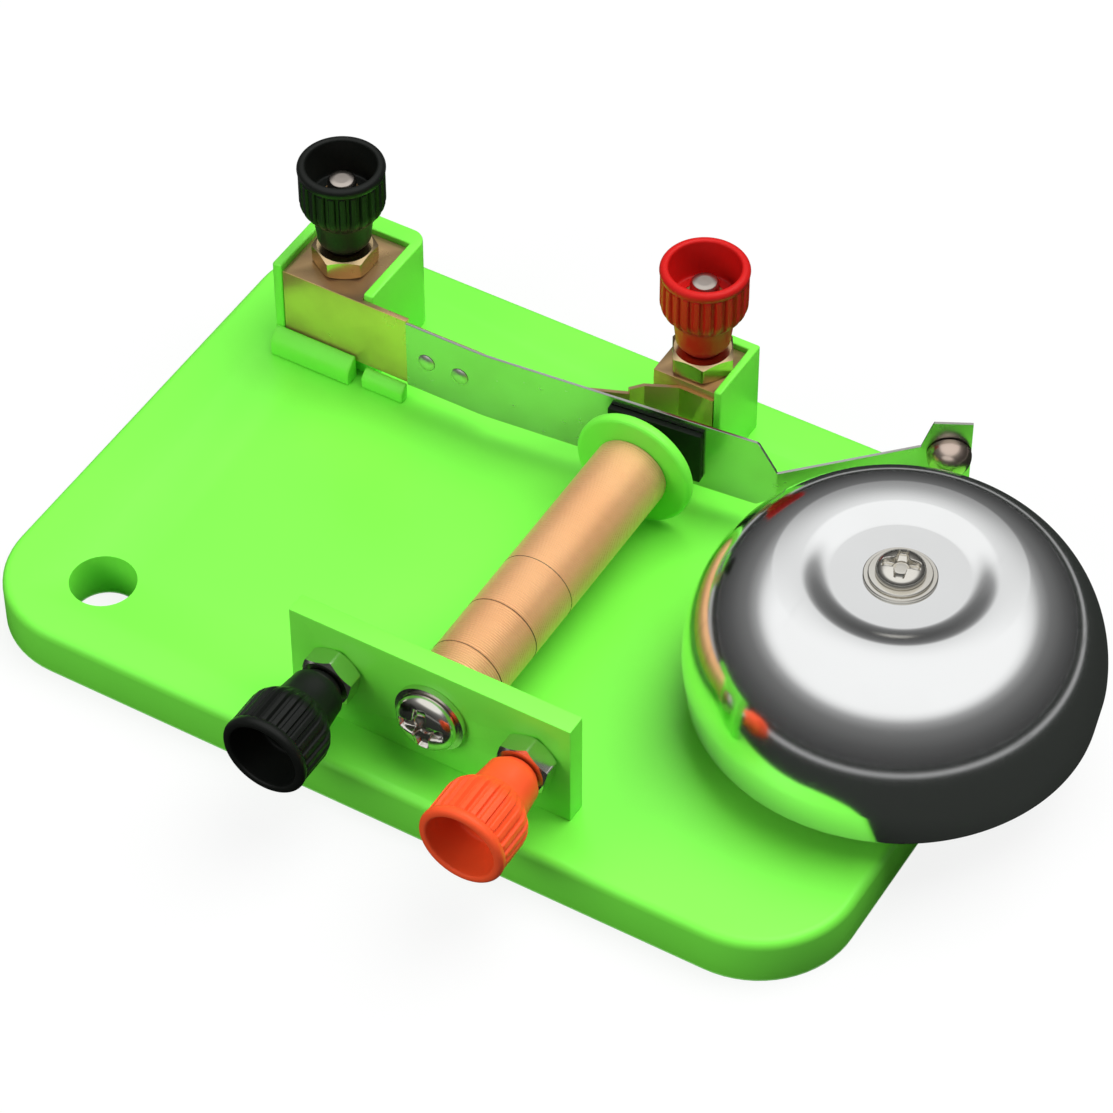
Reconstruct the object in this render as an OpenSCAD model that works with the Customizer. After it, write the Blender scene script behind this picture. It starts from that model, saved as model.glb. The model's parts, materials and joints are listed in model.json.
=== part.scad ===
// Electric bell demonstrator for a classroom bench.
// An electromagnet lies on a green moulded base. It pulls an iron armature on a spring strip,
// and the strip's bent arm carries a hammer that strikes the gong. A contact finger behind the
// strip breaks the circuit. Four binding posts take the leads.
// Millimetres. Origin: centre of the base's underside. +X runs to the gong, +Y to the two
// upright posts, +Z up.

/* [Base] */
// Length of the base
base_l = 125; // [118:1:140]
// Width of the base
base_w = 85.4; // [82:0.2:100]
// Height of the base
base_t = 7; // [6.8:0.1:9]
// Corner radius in plan
base_corner_r = 13.5; // [8:0.5:16]
// Rounding of the top edge
base_edge_r = 1.3; // [0.6:0.1:2]
// Thickness of the deck over the hollow underside
deck_t = 2.4; // [2:0.1:2.6]
// Thickness of the rim wall round the underside
rim_wall = 2.2; // [1.6:0.1:3]
// Thickness of the stiffening ribs under the deck
rib_t = 1.8; // [1.2:0.1:2.4]
// Diameter of the open hole near the front left corner
corner_hole_d = 9; // [6:0.1:10]
// Distance of that hole from the left edge
corner_hole_from_left = 14.5; // [12:0.5:18]
// Distance of that hole from the front edge
corner_hole_from_front = 11.7; // [11:0.1:15]
// Wall of the tube round the hole
corner_tube_wall = 2; // [1.4:0.1:3]

/* [Terminal panel] */
// Width of the upright panel
panel_w = 41; // [38:0.5:46]
// Height of the panel above the deck
panel_h = 16.6; // [15.5:0.1:20]
// Thickness of the panel
panel_t = 3; // [2:0.1:4]
// Distance of the panel's middle to the left of the coil's axis
panel_shift = 0.5; // [0:0.1:1]
// Distance of the panel's front face from the base's front edge
panel_setback = 7.1; // [6:0.1:9]
// Place of the coil and its core along X
coil_x = 5.8; // [3:0.1:7]

/* [Binding posts] */
// Diameter of the threaded studs
stud_d = 4; // [3.6:0.1:4.4]
// Distance between the two panel studs
panel_stud_pitch = 28.6; // [27:0.1:31]
// Distance of the studs' middle to the right of the coil's axis
panel_stud_shift = 0.2; // [-0.5:0.1:0.5]
// Height of the panel studs above the deck
panel_stud_h = 9.3; // [8.6:0.1:11]
// Width across flats of the panel nuts
panel_nut_af = 7; // [6.6:0.1:8]
// Width across flats of the rear nuts
rear_nut_af = 8; // [7:0.1:8.4]
// Thickness of the nuts
nut_h = 3; // [2.4:0.1:3.6]
// Diameter of the heads of the stud screws
stud_head_d = 7; // [6.4:0.1:7.6]
// Thickness of the heads of the stud screws
stud_head_h = 2.2; // [1.8:0.1:2.4]
// Depth of the rear stud tips below the mouths of their knobs
rear_tip_depth = 2.6; // [1.6:0.1:3.4]
// Height of the panel stud tips over the floors of their knobs' cups
panel_tip_rise = 0.4; // [0.2:0.1:0.6]
// Turning clearance at stud, insert and knob, on the radius
turn_gap = 0.05; // [0.03:0.01:0.1]

/* [Knobs] */
// Length of a knob
knob_l = 14.2; // [13:0.1:16]
// Diameter of the knob's mouth
knob_mouth_d = 12; // [11.4:0.1:13]
// Diameter of the knob's neck
knob_neck_d = 7.4; // [7:0.1:8]
// Diameter of the knob's foot
knob_foot_d = 5.4; // [5.2:0.1:6]
// Wall of the cup at the mouth
knob_rim_wall = 1.2; // [0.9:0.1:1.6]
// Depth of the cup
knob_cup_depth = 5.6; // [5:0.1:6.4]
// Number of flutes round the barrel
flute_count = 24; // [16:1:30]
// Depth of the flutes
flute_depth = 0.35; // [0.2:0.05:0.5]
// Diameter of the brass insert
insert_d = 5.8; // [5.4:0.1:6]

/* [Brackets and bosses] */
// Thickness of the bracket sheet
sheet_t = 0.8; // [0.5:0.1:1]
// Height of the bracket tops above the deck
bracket_top_h = 14.1; // [13:0.1:16]
// Place of the left post along X
left_post_x = -45.3; // [-46:0.1:-44]
// Width of the left bracket's top
left_bracket_w = 12.3; // [11:0.1:13]
// Depth of the left bracket's top
left_bracket_d = 12.6; // [11:0.1:13]
// Distance of the left bracket's front face from the base's rear edge
left_face_inset = 24.05; // [23:0.05:25]
// Length of the left bracket's ear that shows beyond the boss
ear_show = 7.4; // [6:0.1:9]
// Place of the right post along X
right_post_x = 6.4; // [5:0.1:7]
// Distance of the right bracket's middle to the left of its post
right_bracket_shift = 0.3; // [0:0.1:0.6]
// Width of the right bracket's top
right_bracket_w = 9.3; // [9:0.1:11]
// Depth of the right bracket's top
right_bracket_d = 8.8; // [8.4:0.1:10]
// Distance of the right bracket's front face behind the left one's
right_face_back = 8.95; // [8.4:0.05:9.4]
// Thickness of the boss walls beside the brackets
boss_wall = 1.5; // [1.1:0.1:2]
// Thickness of the left boss's rear wall
left_rear_wall = 2.8; // [1.6:0.1:3.2]
// Rise of the boss walls above the bracket tops
boss_rise = 0.9; // [0.4:0.1:1.5]
// Clearance between a bracket and its boss
seat_gap = 0.1; // [0.05:0.01:0.2]
// Depth of the ledge in front of the left bracket
ledge_d = 2.2; // [1.8:0.1:2.8]
// Height of the ledge at the bracket
ledge_h = 3.9; // [3:0.1:4.4]

/* [Coil] */
// Height of the coil's axis above the deck
coil_h = 8.6; // [8.6:0.1:10]
// Diameter of the rear flange
flange_d = 17.1; // [15:0.1:17.1]
// Thickness of the rear flange
flange_t = 1.8; // [1.4:0.1:2.2]
// Distance of the pole face before the left bracket's front face
pole_before = 2.35; // [2.05:0.05:3]
// Length of the pole that stands out of the flange
pole_proud = 0.2; // [0.2:0.1:0.6]
// Diameter of the winding over its outer layer
winding_d = 10.6; // [10.5:0.1:11.2]
// Diameter of the iron core
core_d = 5.4; // [5.2:0.1:5.5]
// Wall of the bobbin's tube
bobbin_wall = 0.6; // [0.5:0.1:0.7]
// Turns in the outer layer
winding_turns = 24; // [20:1:24]
// Diameter of the wire in the outer layer
wire_d = 1.36; // [1:0.01:1.4]
// Diameter of the core screw's head
core_head_d = 8.6; // [8:0.1:9.4]
// Diameter of the core screw's washer
core_washer_d = 10; // [9:0.1:11]

/* [Armature] */
// Width of the spring strip
strip_w = 11.3; // [10:0.1:12]
// Thickness of the spring strip
strip_t = 0.4; // [0.3:0.05:0.7]
// Height of the strip's lower edge above the deck
strip_lift = 2.8; // [2.2:0.1:3.4]
// Place of the flex line along X
flex_x = -19.6; // [-20.6:0.1:-18.6]
// Angle at which the strip leaves the flex line
strip_angle = 5.8; // [5:0.1:6.4]
// Length of the strip from the flex line to the bend of the arm
strip_run = 42.9; // [40:0.1:44]
// Height of the narrow arm
arm_w = 4.6; // [3.6:0.1:6]
// Length of the arm
arm_l = 19.6; // [18:0.1:21]
// Angle of the arm to the X axis
arm_angle = 45.4; // [43:0.1:48]
// Length of the hammer tab
tab_l = 6.8; // [6.4:0.1:8]
// Angle of the hammer tab to the X axis
tab_angle = 28; // [24:1:32]
// Diameter of the hammer's dome
dome_d = 6; // [5:0.1:6.4]
// Width of the iron plate on the strip
iron_w = 13.4; // [11:0.1:14]
// Height of the iron plate
iron_h = 8.4; // [7:0.1:9]
// Thickness of the iron plate
iron_t = 0.9; // [0.6:0.1:1.2]

/* [Gong] */
// Largest diameter of the gong
gong_d = 53.8; // [50:0.1:54.4]
// Diameter at the gong's rim
gong_rim_d = 52.6; // [49:0.1:53]
// Height of the gong
gong_h = 21.4; // [19:0.1:23]
// Thickness of the gong's metal
gong_t = 1; // [0.8:0.1:1.4]
// Height of the rim above the deck
gong_lift = 3.5; // [2:0.1:5]
// Place of the gong along X
gong_x = 51.2; // [50:0.1:53]
// Distance of the gong's axis before the left bracket's front face
gong_before = 16.75; // [16.2:0.05:18]
// Radius of the ring round the central dish
dish_r = 12.6; // [11:0.1:13.4]
// Depth of the dish
dish_depth = 2.2; // [1.2:0.1:2.6]
// Diameter of the pillar under the gong
pillar_d = 9; // [7:0.1:10]
// Diameter of the gong's screw
gong_screw_d = 4; // [3.5:0.1:4.4]
// Diameter of the gong's washer
gong_washer_d = 9.4; // [8.4:0.1:11]

/* [Hidden] */
$fn = 64;

eps = 0.01;
fit_gap = 0.1;
head_room = 0.8;
face_gap = 0.05;
edge_steps = 6;

green = [0.33, 0.86, 0.16];
brass = [0.80, 0.66, 0.30];
copper = [0.78, 0.48, 0.28];
steel = [0.72, 0.72, 0.70];
nickel = [0.80, 0.79, 0.74];
dark_iron = [0.16, 0.17, 0.16];
black = [0.05, 0.05, 0.05];
rear_red = [0.72, 0.06, 0.06];
front_red = [0.90, 0.25, 0.10];

deck_z = base_t;
left_face_y = base_w / 2 - left_face_inset;
right_face_y = left_face_y + right_face_back;
pole_y = left_face_y - pole_before;
gong_y = left_face_y - gong_before;
hole_x = -base_l / 2 + corner_hole_from_left;
hole_y = -base_w / 2 + corner_hole_from_front;
panel_front_y = -base_w / 2 + panel_setback;
panel_rear_y = panel_front_y + panel_t;
panel_stud_z = deck_z + panel_stud_h;
stud_mid_x = coil_x + panel_stud_shift;
panel_stud_xs = [stud_mid_x - panel_stud_pitch / 2, stud_mid_x + panel_stud_pitch / 2];
coil_z = deck_z + coil_h;

bracket_z = deck_z + bracket_top_h;
boss_top_z = bracket_z + boss_rise;
block_top_z = bracket_z - sheet_t;
strip_z = deck_z + strip_lift;
strip_top_z = strip_z + strip_w;
left_x0 = left_post_x - left_bracket_w / 2;
left_x1 = left_post_x + left_bracket_w / 2;
boss_corner_r = 2.4;
left_post_y = left_face_y + left_bracket_d / 2;
right_x0 = right_post_x - right_bracket_shift - right_bracket_w / 2;
right_x1 = right_x0 + right_bracket_w;
right_block_proud = 0.3;
right_wall_proud = 0.6;
right_side_wall = boss_wall * 0.73;
right_rear_wall = 1.4;
right_post_y = right_face_y + right_bracket_d / 2;
ledge_slit = 1.6;
ledge_end_inset = 0.4;
low_ledge = 0.7;
root_x0 = left_x1 + ear_show;
root_x1 = flex_x - 0.12;
rivet_inset = 3.4;
root_rivet_xs = [root_x0 + rivet_inset, root_x1 - rivet_inset];
rivet_z = strip_z + strip_w / 2;

foot_gap = 0.15;
rear_foot_z = bracket_z + nut_h + foot_gap;
rear_tip_z = rear_foot_z + knob_l - rear_tip_depth;
panel_foot_y = panel_front_y - nut_h - foot_gap;
panel_tip_y = panel_foot_y - (knob_l - knob_cup_depth) - panel_tip_rise;

flange_rear_y = pole_y - pole_proud;
flange_front_y = flange_rear_y - flange_t;
front_cheek_t = 0.8;
winding_y0 = panel_rear_y + face_gap + front_cheek_t + face_gap;
winding_y1 = flange_front_y - face_gap;
tube_d = core_d + 2 * fit_gap + 2 * bobbin_wall;
core_washer_t = 0.8;
core_head_h = 2.2;
core_screw_d = 4;
core_screw_l = 14;

gong_rim_z = deck_z + gong_lift;
gong_skirt_h = 5.3;
gong_shoulder_w = 12.4;
dish_floor_r = 8.4;
dish_floor_h = gong_h - dish_depth;
gong_seat_z = gong_rim_z + dish_floor_h;
gong_washer_t = 0.6;
spring_washer_t = 0.9;
spring_washer_d = 8.5;
washer_slit = 0.6;
gong_head_d = 6.4;
gong_head_h = 2.4;
gong_screw_l = 12;
pillar_screw_grip = 8;

// ---------------------------------------------------------------- shared shapes

// Points of an arc, [x, y] pairs from angle a0 to a1.
function arc(cx, cy, rx, ry, a0, a1, n) =
    [for (i = [0:n]) let (a = a0 + (a1 - a0) * i / n) [cx + rx * cos(a), cy + ry * sin(a)]];

// Rectangle with round corners, made of squares and circles.
module round_rect(l, w, r) {
    square([l - 2 * r, w], center = true);
    square([l, w - 2 * r], center = true);
    for (sx = [-1, 1], sy = [-1, 1])
        translate([sx * (l / 2 - r), sy * (w / 2 - r)]) circle(r);
}

// Box given by its low and high corners.
module span(a, b) translate(a) cube(b - a);

// Turns a shape drawn along +Z so that it points to -Y, out of the panel.
module facing_front(x, y, z) translate([x, y, z]) rotate([90, 0, 0]) children();

// Pan head with a cross recess. It seats at z = 0 and its top is at z = h.
module pan_head(d, h) {
    recess_w = d * 0.17;
    recess_l = d * 0.58;
    recess_depth = h * 0.55;
    difference() {
        rotate_extrude()
            polygon(concat([[0, 0], [d / 2, 0]],
                arc(d / 2 - h * 0.72, h * 0.28, h * 0.72, h * 0.72, 0, 70, 5), [[0, h]]));
        for (a = [0, 90]) rotate(a)
            translate([-recess_l / 2, -recess_w / 2, h - recess_depth])
                cube([recess_l, recess_w, h]);
    }
}

// Round rod with a small chamfer at its far end, from z = 0 to z = l.
module stud_rod(d, l) {
    chamfer = d * 0.1;
    rotate_extrude()
        polygon([[0, 0], [d / 2, 0], [d / 2, l - chamfer], [d / 2 - chamfer, l], [0, l]]);
}

// Hex nut, from z = 0 to z = h, its corners turned down on both faces.
module hex_nut(af, h, bore) {
    corner_r = af / sqrt(3);
    turned = (corner_r - af / 2) * 0.9;
    difference() {
        intersection() {
            cylinder(r = corner_r, h = h, $fn = 6);
            rotate_extrude()
                polygon([[0, 0], [af / 2, 0], [af / 2 + turned, turned * 0.6],
                    [af / 2 + turned, h - turned * 0.6], [af / 2, h], [0, h]]);
        }
        translate([0, 0, -1]) cylinder(d = bore, h = h + 2);
    }
}

// Flat washer from z = 0 to z = t.
module ring_washer(d, bore, t) difference() {
    cylinder(d = d, h = t);
    translate([0, 0, -1]) cylinder(d = bore, h = t + 2);
}

// Domed rivet along +Y: head at y = 0 side facing -Y, shank through to y = grip.
module rivet(head_d, head_h, shank_d, grip)
    rotate([-90, 0, 0]) rotate_extrude()
        polygon(concat([[0, -head_h]],
            arc(0, 0, head_d / 2, head_h, -70, 0, 5),
            [[shank_d / 2, 0], [shank_d / 2, grip], [0, grip]]));

// ---------------------------------------------------------------- base moulding

module base_shell() {
    difference() {
        hull() for (sx = [-1, 1], sy = [-1, 1])
            translate([sx * (base_l / 2 - base_corner_r), sy * (base_w / 2 - base_corner_r), 0])
                rotate_extrude($fn = 64)
                    polygon(concat([[0, 0], [base_corner_r, 0]],
                        arc(base_corner_r - base_edge_r, base_t - base_edge_r,
                            base_edge_r, base_edge_r, 0, 90, edge_steps), [[0, base_t]]));
        translate([0, 0, -1]) linear_extrude(base_t - deck_t + 1)
            round_rect(base_l - 2 * rim_wall, base_w - 2 * rim_wall, base_corner_r - rim_wall);
    }
}

module ribs() {
    rib_h = base_t - deck_t + eps;
    cross_rib_x = base_l / 6;
    inner_l = base_l - rim_wall;
    inner_w = base_w - rim_wall;
    translate([-inner_l / 2, -rib_t / 2, 0]) cube([inner_l, rib_t, rib_h]);
    for (sx = [-1, 1])
        translate([sx * cross_rib_x - rib_t / 2, -inner_w / 2, 0]) cube([rib_t, inner_w, rib_h]);
}

module base_moulding() color(green) difference() {
    union() {
        base_shell();
        ribs();
        translate([hole_x, hole_y, 0])
            cylinder(d = corner_hole_d + 2 * corner_tube_wall, h = base_t - eps);
    }
    translate([hole_x, hole_y, -1]) cylinder(d = corner_hole_d, h = base_t + 2);
    screw_way(left_post_x, left_post_y, stud_d);
    screw_way(right_post_x, right_post_y, stud_d);
    screw_way(gong_x, gong_y, gong_screw_d);
    translate([gong_x, gong_y, -1])
        cylinder(d = stud_head_d + 2 * head_room, h = base_t - deck_t + 1);
}

// Way of a stud through the deck or a boss.
module screw_way(x, y, d) translate([x, y, -1]) cylinder(d = d + 2 * fit_gap, h = boss_top_z + 2);

// The panel, bosses and ledges below are moulded in one with the base. They stand on its deck
// as solids of their own, so that each keeps a simple shape.
module terminal_panel() color(green) difference() {
    span([coil_x - panel_shift - panel_w / 2, panel_front_y, deck_z],
        [coil_x - panel_shift + panel_w / 2, panel_rear_y, deck_z + panel_h]);
    for (x = panel_stud_xs) facing_front(x, panel_rear_y + 1, panel_stud_z)
        cylinder(d = stud_d + 2 * fit_gap, h = panel_t + 2);
    facing_front(coil_x, panel_rear_y + 1, coil_z)
        cylinder(d = core_screw_d + 2 * fit_gap, h = panel_t + 2);
}

// Block under the left bracket with raised walls at its sides and rear.
module left_boss() color(green) difference() {
    x0 = left_x0 - seat_gap - boss_wall;
    x1 = left_x1 + seat_gap + boss_wall;
    y0 = left_face_y + sheet_t + seat_gap;
    y1 = left_face_y + left_bracket_d + seat_gap;
    union() {
        span([x0 + eps, y0, deck_z], [x1 - eps, y1 + eps, block_top_z]);
        span([x0, left_face_y - seat_gap, deck_z], [x0 + boss_wall, y1 + eps, boss_top_z]);
        span([x1 - boss_wall, y0, deck_z], [x1, y1 + eps, boss_top_z]);
        translate([0, 0, deck_z]) linear_extrude(boss_top_z - deck_z) {
            span2([x0, y1], [x1, y1 + left_rear_wall - boss_corner_r]);
            span2([x0 + boss_corner_r, y1], [x1 - boss_corner_r, y1 + left_rear_wall]);
            for (x = [x0 + boss_corner_r, x1 - boss_corner_r]) intersection() {
                translate([x, y1 + left_rear_wall - boss_corner_r]) circle(boss_corner_r);
                span2([x0, y1], [x1, y1 + left_rear_wall]);
            }
        }
    }
    screw_way(left_post_x, left_post_y, stud_d);
}

module span2(a, b) translate(a) square(b - a);

// Block under the right bracket with raised walls at its right side and rear.
module right_boss() color(green) difference() {
    x0 = right_x0 - right_block_proud;
    x1 = right_x1 + seat_gap + right_side_wall;
    y0 = right_face_y + sheet_t + seat_gap;
    y1 = right_face_y + right_bracket_d + seat_gap;
    union() {
        span([x0, y0, deck_z], [x1 - eps, y1 + eps, block_top_z]);
        span([right_x1 + seat_gap, right_face_y - right_wall_proud, deck_z],
            [x1, y1 + right_rear_wall, boss_top_z]);
        span([x0, y1, deck_z], [x1, y1 + right_rear_wall, boss_top_z]);
    }
    screw_way(right_post_x, right_post_y, stud_d);
}

// Ledge that keeps a bracket's lower edge in place: a lip with a sloping top.
module lip(x0, x1, face_y, depth, h)
    translate([x0, face_y - seat_gap, deck_z]) rotate([90, 0, 90])
        linear_extrude(x1 - x0)
            polygon([[0, 0], [0, h], [-depth * 0.45, h * 0.91], [-depth * 0.9, h * 0.67],
                [-depth, h * 0.51], [-depth, 0]]);

// The left ledge is in two pieces, with a slit near the bracket's corner.
module left_ledge() color(green) {
    slit_x0 = left_x1 - ledge_slit / 2;
    slit_x1 = left_x1 + ledge_slit / 2;
    lip(left_x0 - seat_gap - boss_wall + ledge_end_inset, slit_x0, left_face_y, ledge_d, ledge_h);
    lip(slit_x1, root_x0, left_face_y, ledge_d * low_ledge, ledge_h * low_ledge);
}
module right_ledge() color(green)
    lip(right_x0 - right_block_proud, right_x1 + seat_gap, right_face_y, ledge_d, ledge_h);

// ---------------------------------------------------------------- brackets and contact

// Left bracket: top plate, front plate, and an ear that carries the spring strip.
module left_bracket() color(brass) {
    tongue_inset = 0.8;
    front_y = left_face_y;
    difference() {
        union() {
            span([left_x0, front_y, block_top_z + face_gap],
                [left_x1, front_y + left_bracket_d, bracket_z]);
            span([left_x0, front_y, strip_z], [root_x0 + eps, front_y + sheet_t, bracket_z]);
            span([root_x0, front_y, strip_z + tongue_inset],
                [root_x1, front_y + sheet_t, bracket_z - tongue_inset]);
        }
        translate([left_post_x, left_post_y, 0])
            cylinder(d = stud_d + 2 * fit_gap, h = bracket_z + 1);
        for (x = root_rivet_xs) translate([x, front_y - 1, rivet_z]) rotate([-90, 0, 0])
            cylinder(d = rivet_shank_d + 2 * face_gap, h = sheet_t + 2);
    }
}

rivet_shank_d = 1.6;
rivet_head_d = 2.6;
rivet_head_h = 0.5;
finger_step_up = 2.4;
finger_top_inset = 1;
finger_edge = 2;
finger_face_y = right_face_y - face_gap;
finger_foot_z = deck_z + ledge_h + fit_gap;
finger_z0 = finger_foot_z + finger_step_up;
finger_z1 = bracket_z - finger_top_inset;
finger_t = 0.5;
finger_rivet_x = right_x1 - finger_edge;
finger_rivet_z = finger_foot_z + finger_edge;

module right_bracket() color(brass) difference() {
    union() {
        span([right_x0, right_face_y, block_top_z + face_gap],
            [right_x1, right_face_y + right_bracket_d, bracket_z]);
        span([right_x0, right_face_y, strip_z], [right_x1, right_face_y + sheet_t, bracket_z]);
    }
    translate([right_post_x, right_post_y, 0])
        cylinder(d = stud_d + 2 * fit_gap, h = bracket_z + 1);
    translate([finger_rivet_x, right_face_y - 1, finger_rivet_z]) rotate([-90, 0, 0])
        cylinder(d = rivet_shank_d + 2 * face_gap, h = sheet_t + 2);
}

// Contact finger: a brass leaf riveted to the right bracket. It bends forward, steps, and
// ends just behind the spring strip. The corners are plan points of its front face.
tip_gap = 0.3;
tip_narrow = 0.8;
finger_bend_x = right_post_x - 0.9;
step_x = coil_x - 4.6;
step_angle = 50;
step_l = 2.1;
reach_angle = 26;
tip_x = coil_x - 13.6;
function strip_back_y(x) =
    left_face_y + strip_t * (1 / cos(strip_angle) - 1) + (x - flex_x) * tan(strip_angle);
finger_pts = let (
        bend = [finger_bend_x, finger_face_y],
        step_in = [step_x, finger_face_y - (finger_bend_x - step_x) * tan(reach_angle)],
        step_out = step_in - step_l * [cos(step_angle), sin(step_angle)],
        tip = [tip_x, strip_back_y(tip_x) + tip_gap + finger_t])
    [[right_x1 - fit_gap, finger_face_y], bend, step_in, step_out, tip];

leaf_lap = 0.1;
module leaf(a, b, z0, z1) {
    run = b - a;
    translate([a.x, a.y, 0]) rotate(atan2(run.y, run.x))
        span([-leaf_lap, 0, z0], [norm(run) + leaf_lap, finger_t, z1]);
}

module contact_finger() color(brass) difference() {
    union() for (i = [0:3])
        leaf(finger_pts[i], finger_pts[i + 1],
            i == 0 ? finger_foot_z : finger_z0 + (i == 3 ? tip_narrow : 0),
            finger_z1 - (i == 3 ? tip_narrow : 0));
    translate([finger_rivet_x, right_face_y - finger_t - 1, finger_rivet_z]) rotate([-90, 0, 0])
        cylinder(d = rivet_shank_d + 2 * face_gap, h = sheet_t + 2);
}

module finger_rivet() color(brass)
    translate([finger_rivet_x, finger_face_y - finger_t - face_gap, finger_rivet_z])
        rivet(rivet_head_d, rivet_head_h, rivet_shank_d, finger_t + sheet_t + 2 * face_gap);

// ---------------------------------------------------------------- spring strip and hammer

module spring_root() color(steel) difference() {
    span([root_x0 + 0.2, left_face_y - strip_t, strip_z],
        [root_x1, left_face_y - eps, strip_top_z]);
    for (x = root_rivet_xs) translate([x, left_face_y - strip_t - 1, rivet_z])
        rotate([-90, 0, 0]) cylinder(d = rivet_shank_d + 2 * face_gap, h = strip_t + 2);
}

module root_rivets() color(nickel) for (x = root_rivet_xs)
    translate([x, left_face_y - strip_t - face_gap, rivet_z])
        rivet(rivet_head_d, rivet_head_h, rivet_shank_d, strip_t + sheet_t + face_gap);

// Plan frames of the strip's three flat runs: strip, arm and tab.
arm_at = [flex_x, left_face_y - strip_t] + strip_run * [cos(strip_angle), sin(strip_angle)];
tab_at = arm_at + arm_l * [cos(arm_angle), sin(arm_angle)];
arm_top = strip_w - 4.4;
arm_bottom = arm_top - arm_w;
corner_run = 2.8;

// Corner points of the strip's rear face in plan, where two runs meet.
function rear_corner(at, a0, a1) = let (m = (a0 + a1) / 2)
    at + strip_t / cos((a1 - a0) / 2) * [-sin(m), cos(m)];

// The strip is bent as in plan, and trimmed to its outline as seen from the front.
module armature_strip() color(steel) {
    start = [flex_x, left_face_y - strip_t];
    tip = tab_at + tab_l * [cos(tab_angle), sin(tab_angle)];
    neck_x = arm_at.x - 0.08;
    tab_x = tab_at.x + 0.12;
    tab_rise = 1.3;
    lip = strip_w + 1;
    difference() {
        intersection() {
            translate([0, 0, strip_z]) linear_extrude(strip_w)
                polygon([start, arm_at, tab_at, tip,
                    tip + strip_t * [-sin(tab_angle), cos(tab_angle)],
                    rear_corner(tab_at, arm_angle, tab_angle),
                    rear_corner(arm_at, strip_angle, arm_angle),
                    start + strip_t * [-sin(strip_angle), cos(strip_angle)]]);
            translate([0, base_w, strip_z]) rotate([90, 0, 0]) linear_extrude(base_w)
                polygon([[flex_x - 2, -1], [neck_x - corner_run * (1 + 1 / arm_bottom), -1],
                    [neck_x, arm_bottom], [tab_x, arm_bottom],
                    [tab_x + tab_rise * (1 + 1 / arm_bottom), -1],
                    [tip.x + 2, -1], [tip.x + 2, lip],
                    [tab_x + tab_rise * (1 + 1 / (strip_w - arm_top)), lip],
                    [tab_x, arm_top], [neck_x, arm_top],
                    [neck_x - corner_run * (1 + 1 / (strip_w - arm_top)), lip],
                    [flex_x - 2, lip]]);
        }
        translate([tab_at.x, tab_at.y, 0]) rotate(tab_angle)
            translate([dome_s, -1, dome_z]) rotate([-90, 0, 0])
                cylinder(d = dome_shank_d + 2 * face_gap, h = strip_t + 2);
    }
}

dome_s = tab_l - dome_d / 2 - 0.2;
dome_z = strip_z + strip_w / 2;
dome_shank_d = 2;
dome_h = 3;

module hammer_dome() color(nickel)
    translate([tab_at.x, tab_at.y, 0]) rotate(tab_angle)
        translate([dome_s, -face_gap, dome_z]) rotate([-90, 0, 0]) rotate_extrude()
            polygon(concat([[0, -dome_h]],
                arc(0, -dome_h + dome_d / 2, dome_d / 2, dome_d / 2, -80, 0, 8),
                [[dome_d / 2, 0], [dome_shank_d / 2, 0],
                [dome_shank_d / 2, strip_t + 0.2], [dome_shank_d / 2 + 0.5, strip_t + 0.2],
                [dome_shank_d / 2 + 0.2, strip_t + 0.7], [0, strip_t + 0.7]]));

// Soft-iron plate on the strip's front face, opposite the pole.
iron_s = (coil_x - flex_x) / cos(strip_angle) - iron_w / 2;
module armature_iron() color(dark_iron)
    translate([flex_x, left_face_y - strip_t, 0]) rotate(strip_angle)
        span([iron_s, -iron_t - face_gap, coil_z - iron_h / 2],
            [iron_s + iron_w, -face_gap, coil_z + iron_h / 2]);

// ---------------------------------------------------------------- electromagnet

module bobbin() color(green) {
    cheek_r = winding_d / 2;
    rim_r = 0.7;
    translate([coil_x, panel_rear_y + face_gap, coil_z]) rotate([-90, 0, 0]) difference() {
        rotate_extrude() {
            flange_y = flange_front_y - panel_rear_y - face_gap;
            polygon(concat([[0, 0], [cheek_r, 0], [cheek_r, front_cheek_t],
                [tube_d / 2, front_cheek_t], [tube_d / 2, flange_y]],
                arc(flange_d / 2 - rim_r, flange_y + rim_r, rim_r, rim_r, -90, 0, 4),
                arc(flange_d / 2 - rim_r, flange_y + flange_t - rim_r, rim_r, rim_r, 0, 90, 4),
                [[0, flange_y + flange_t]]));
        }
        translate([0, 0, -1]) cylinder(d = core_d + 2 * fit_gap, h = base_w);
    }
}

layer_gap = 0.1;
inner_winding_d = winding_d - 2 * wire_d - 2 * layer_gap;

module coil_winding() color(copper)
    translate([coil_x, winding_y0, coil_z]) rotate([-90, 0, 0]) rotate_extrude()
        polygon([[tube_d / 2 + face_gap, 0], [inner_winding_d / 2, 0],
            [inner_winding_d / 2, winding_y1 - winding_y0],
            [tube_d / 2 + face_gap, winding_y1 - winding_y0]]);

// Outer layer: one wire in a helix, swept as a six-sided tube.
turn_steps = 16;
wire_sides = 6;
helix_r = (winding_d - wire_d) / 2;
helix_pitch = (winding_y1 - winding_y0 - wire_d) / winding_turns;
helix_steps = winding_turns * turn_steps;
function helix_point(i) = let (a = 360 * i / turn_steps)
    [helix_r * cos(a), helix_r * sin(a), wire_d / 2 + helix_pitch * i / turn_steps];
// The wire's ends run straight for one wire diameter, along the helix.
function wire_path() = let (
        first = helix_point(0),
        last = helix_point(helix_steps),
        ahead = [0, 1, 0])
    concat([first - wire_d * ahead], [for (i = [0:helix_steps]) helix_point(i)],
        [last + wire_d * ahead]);

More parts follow.
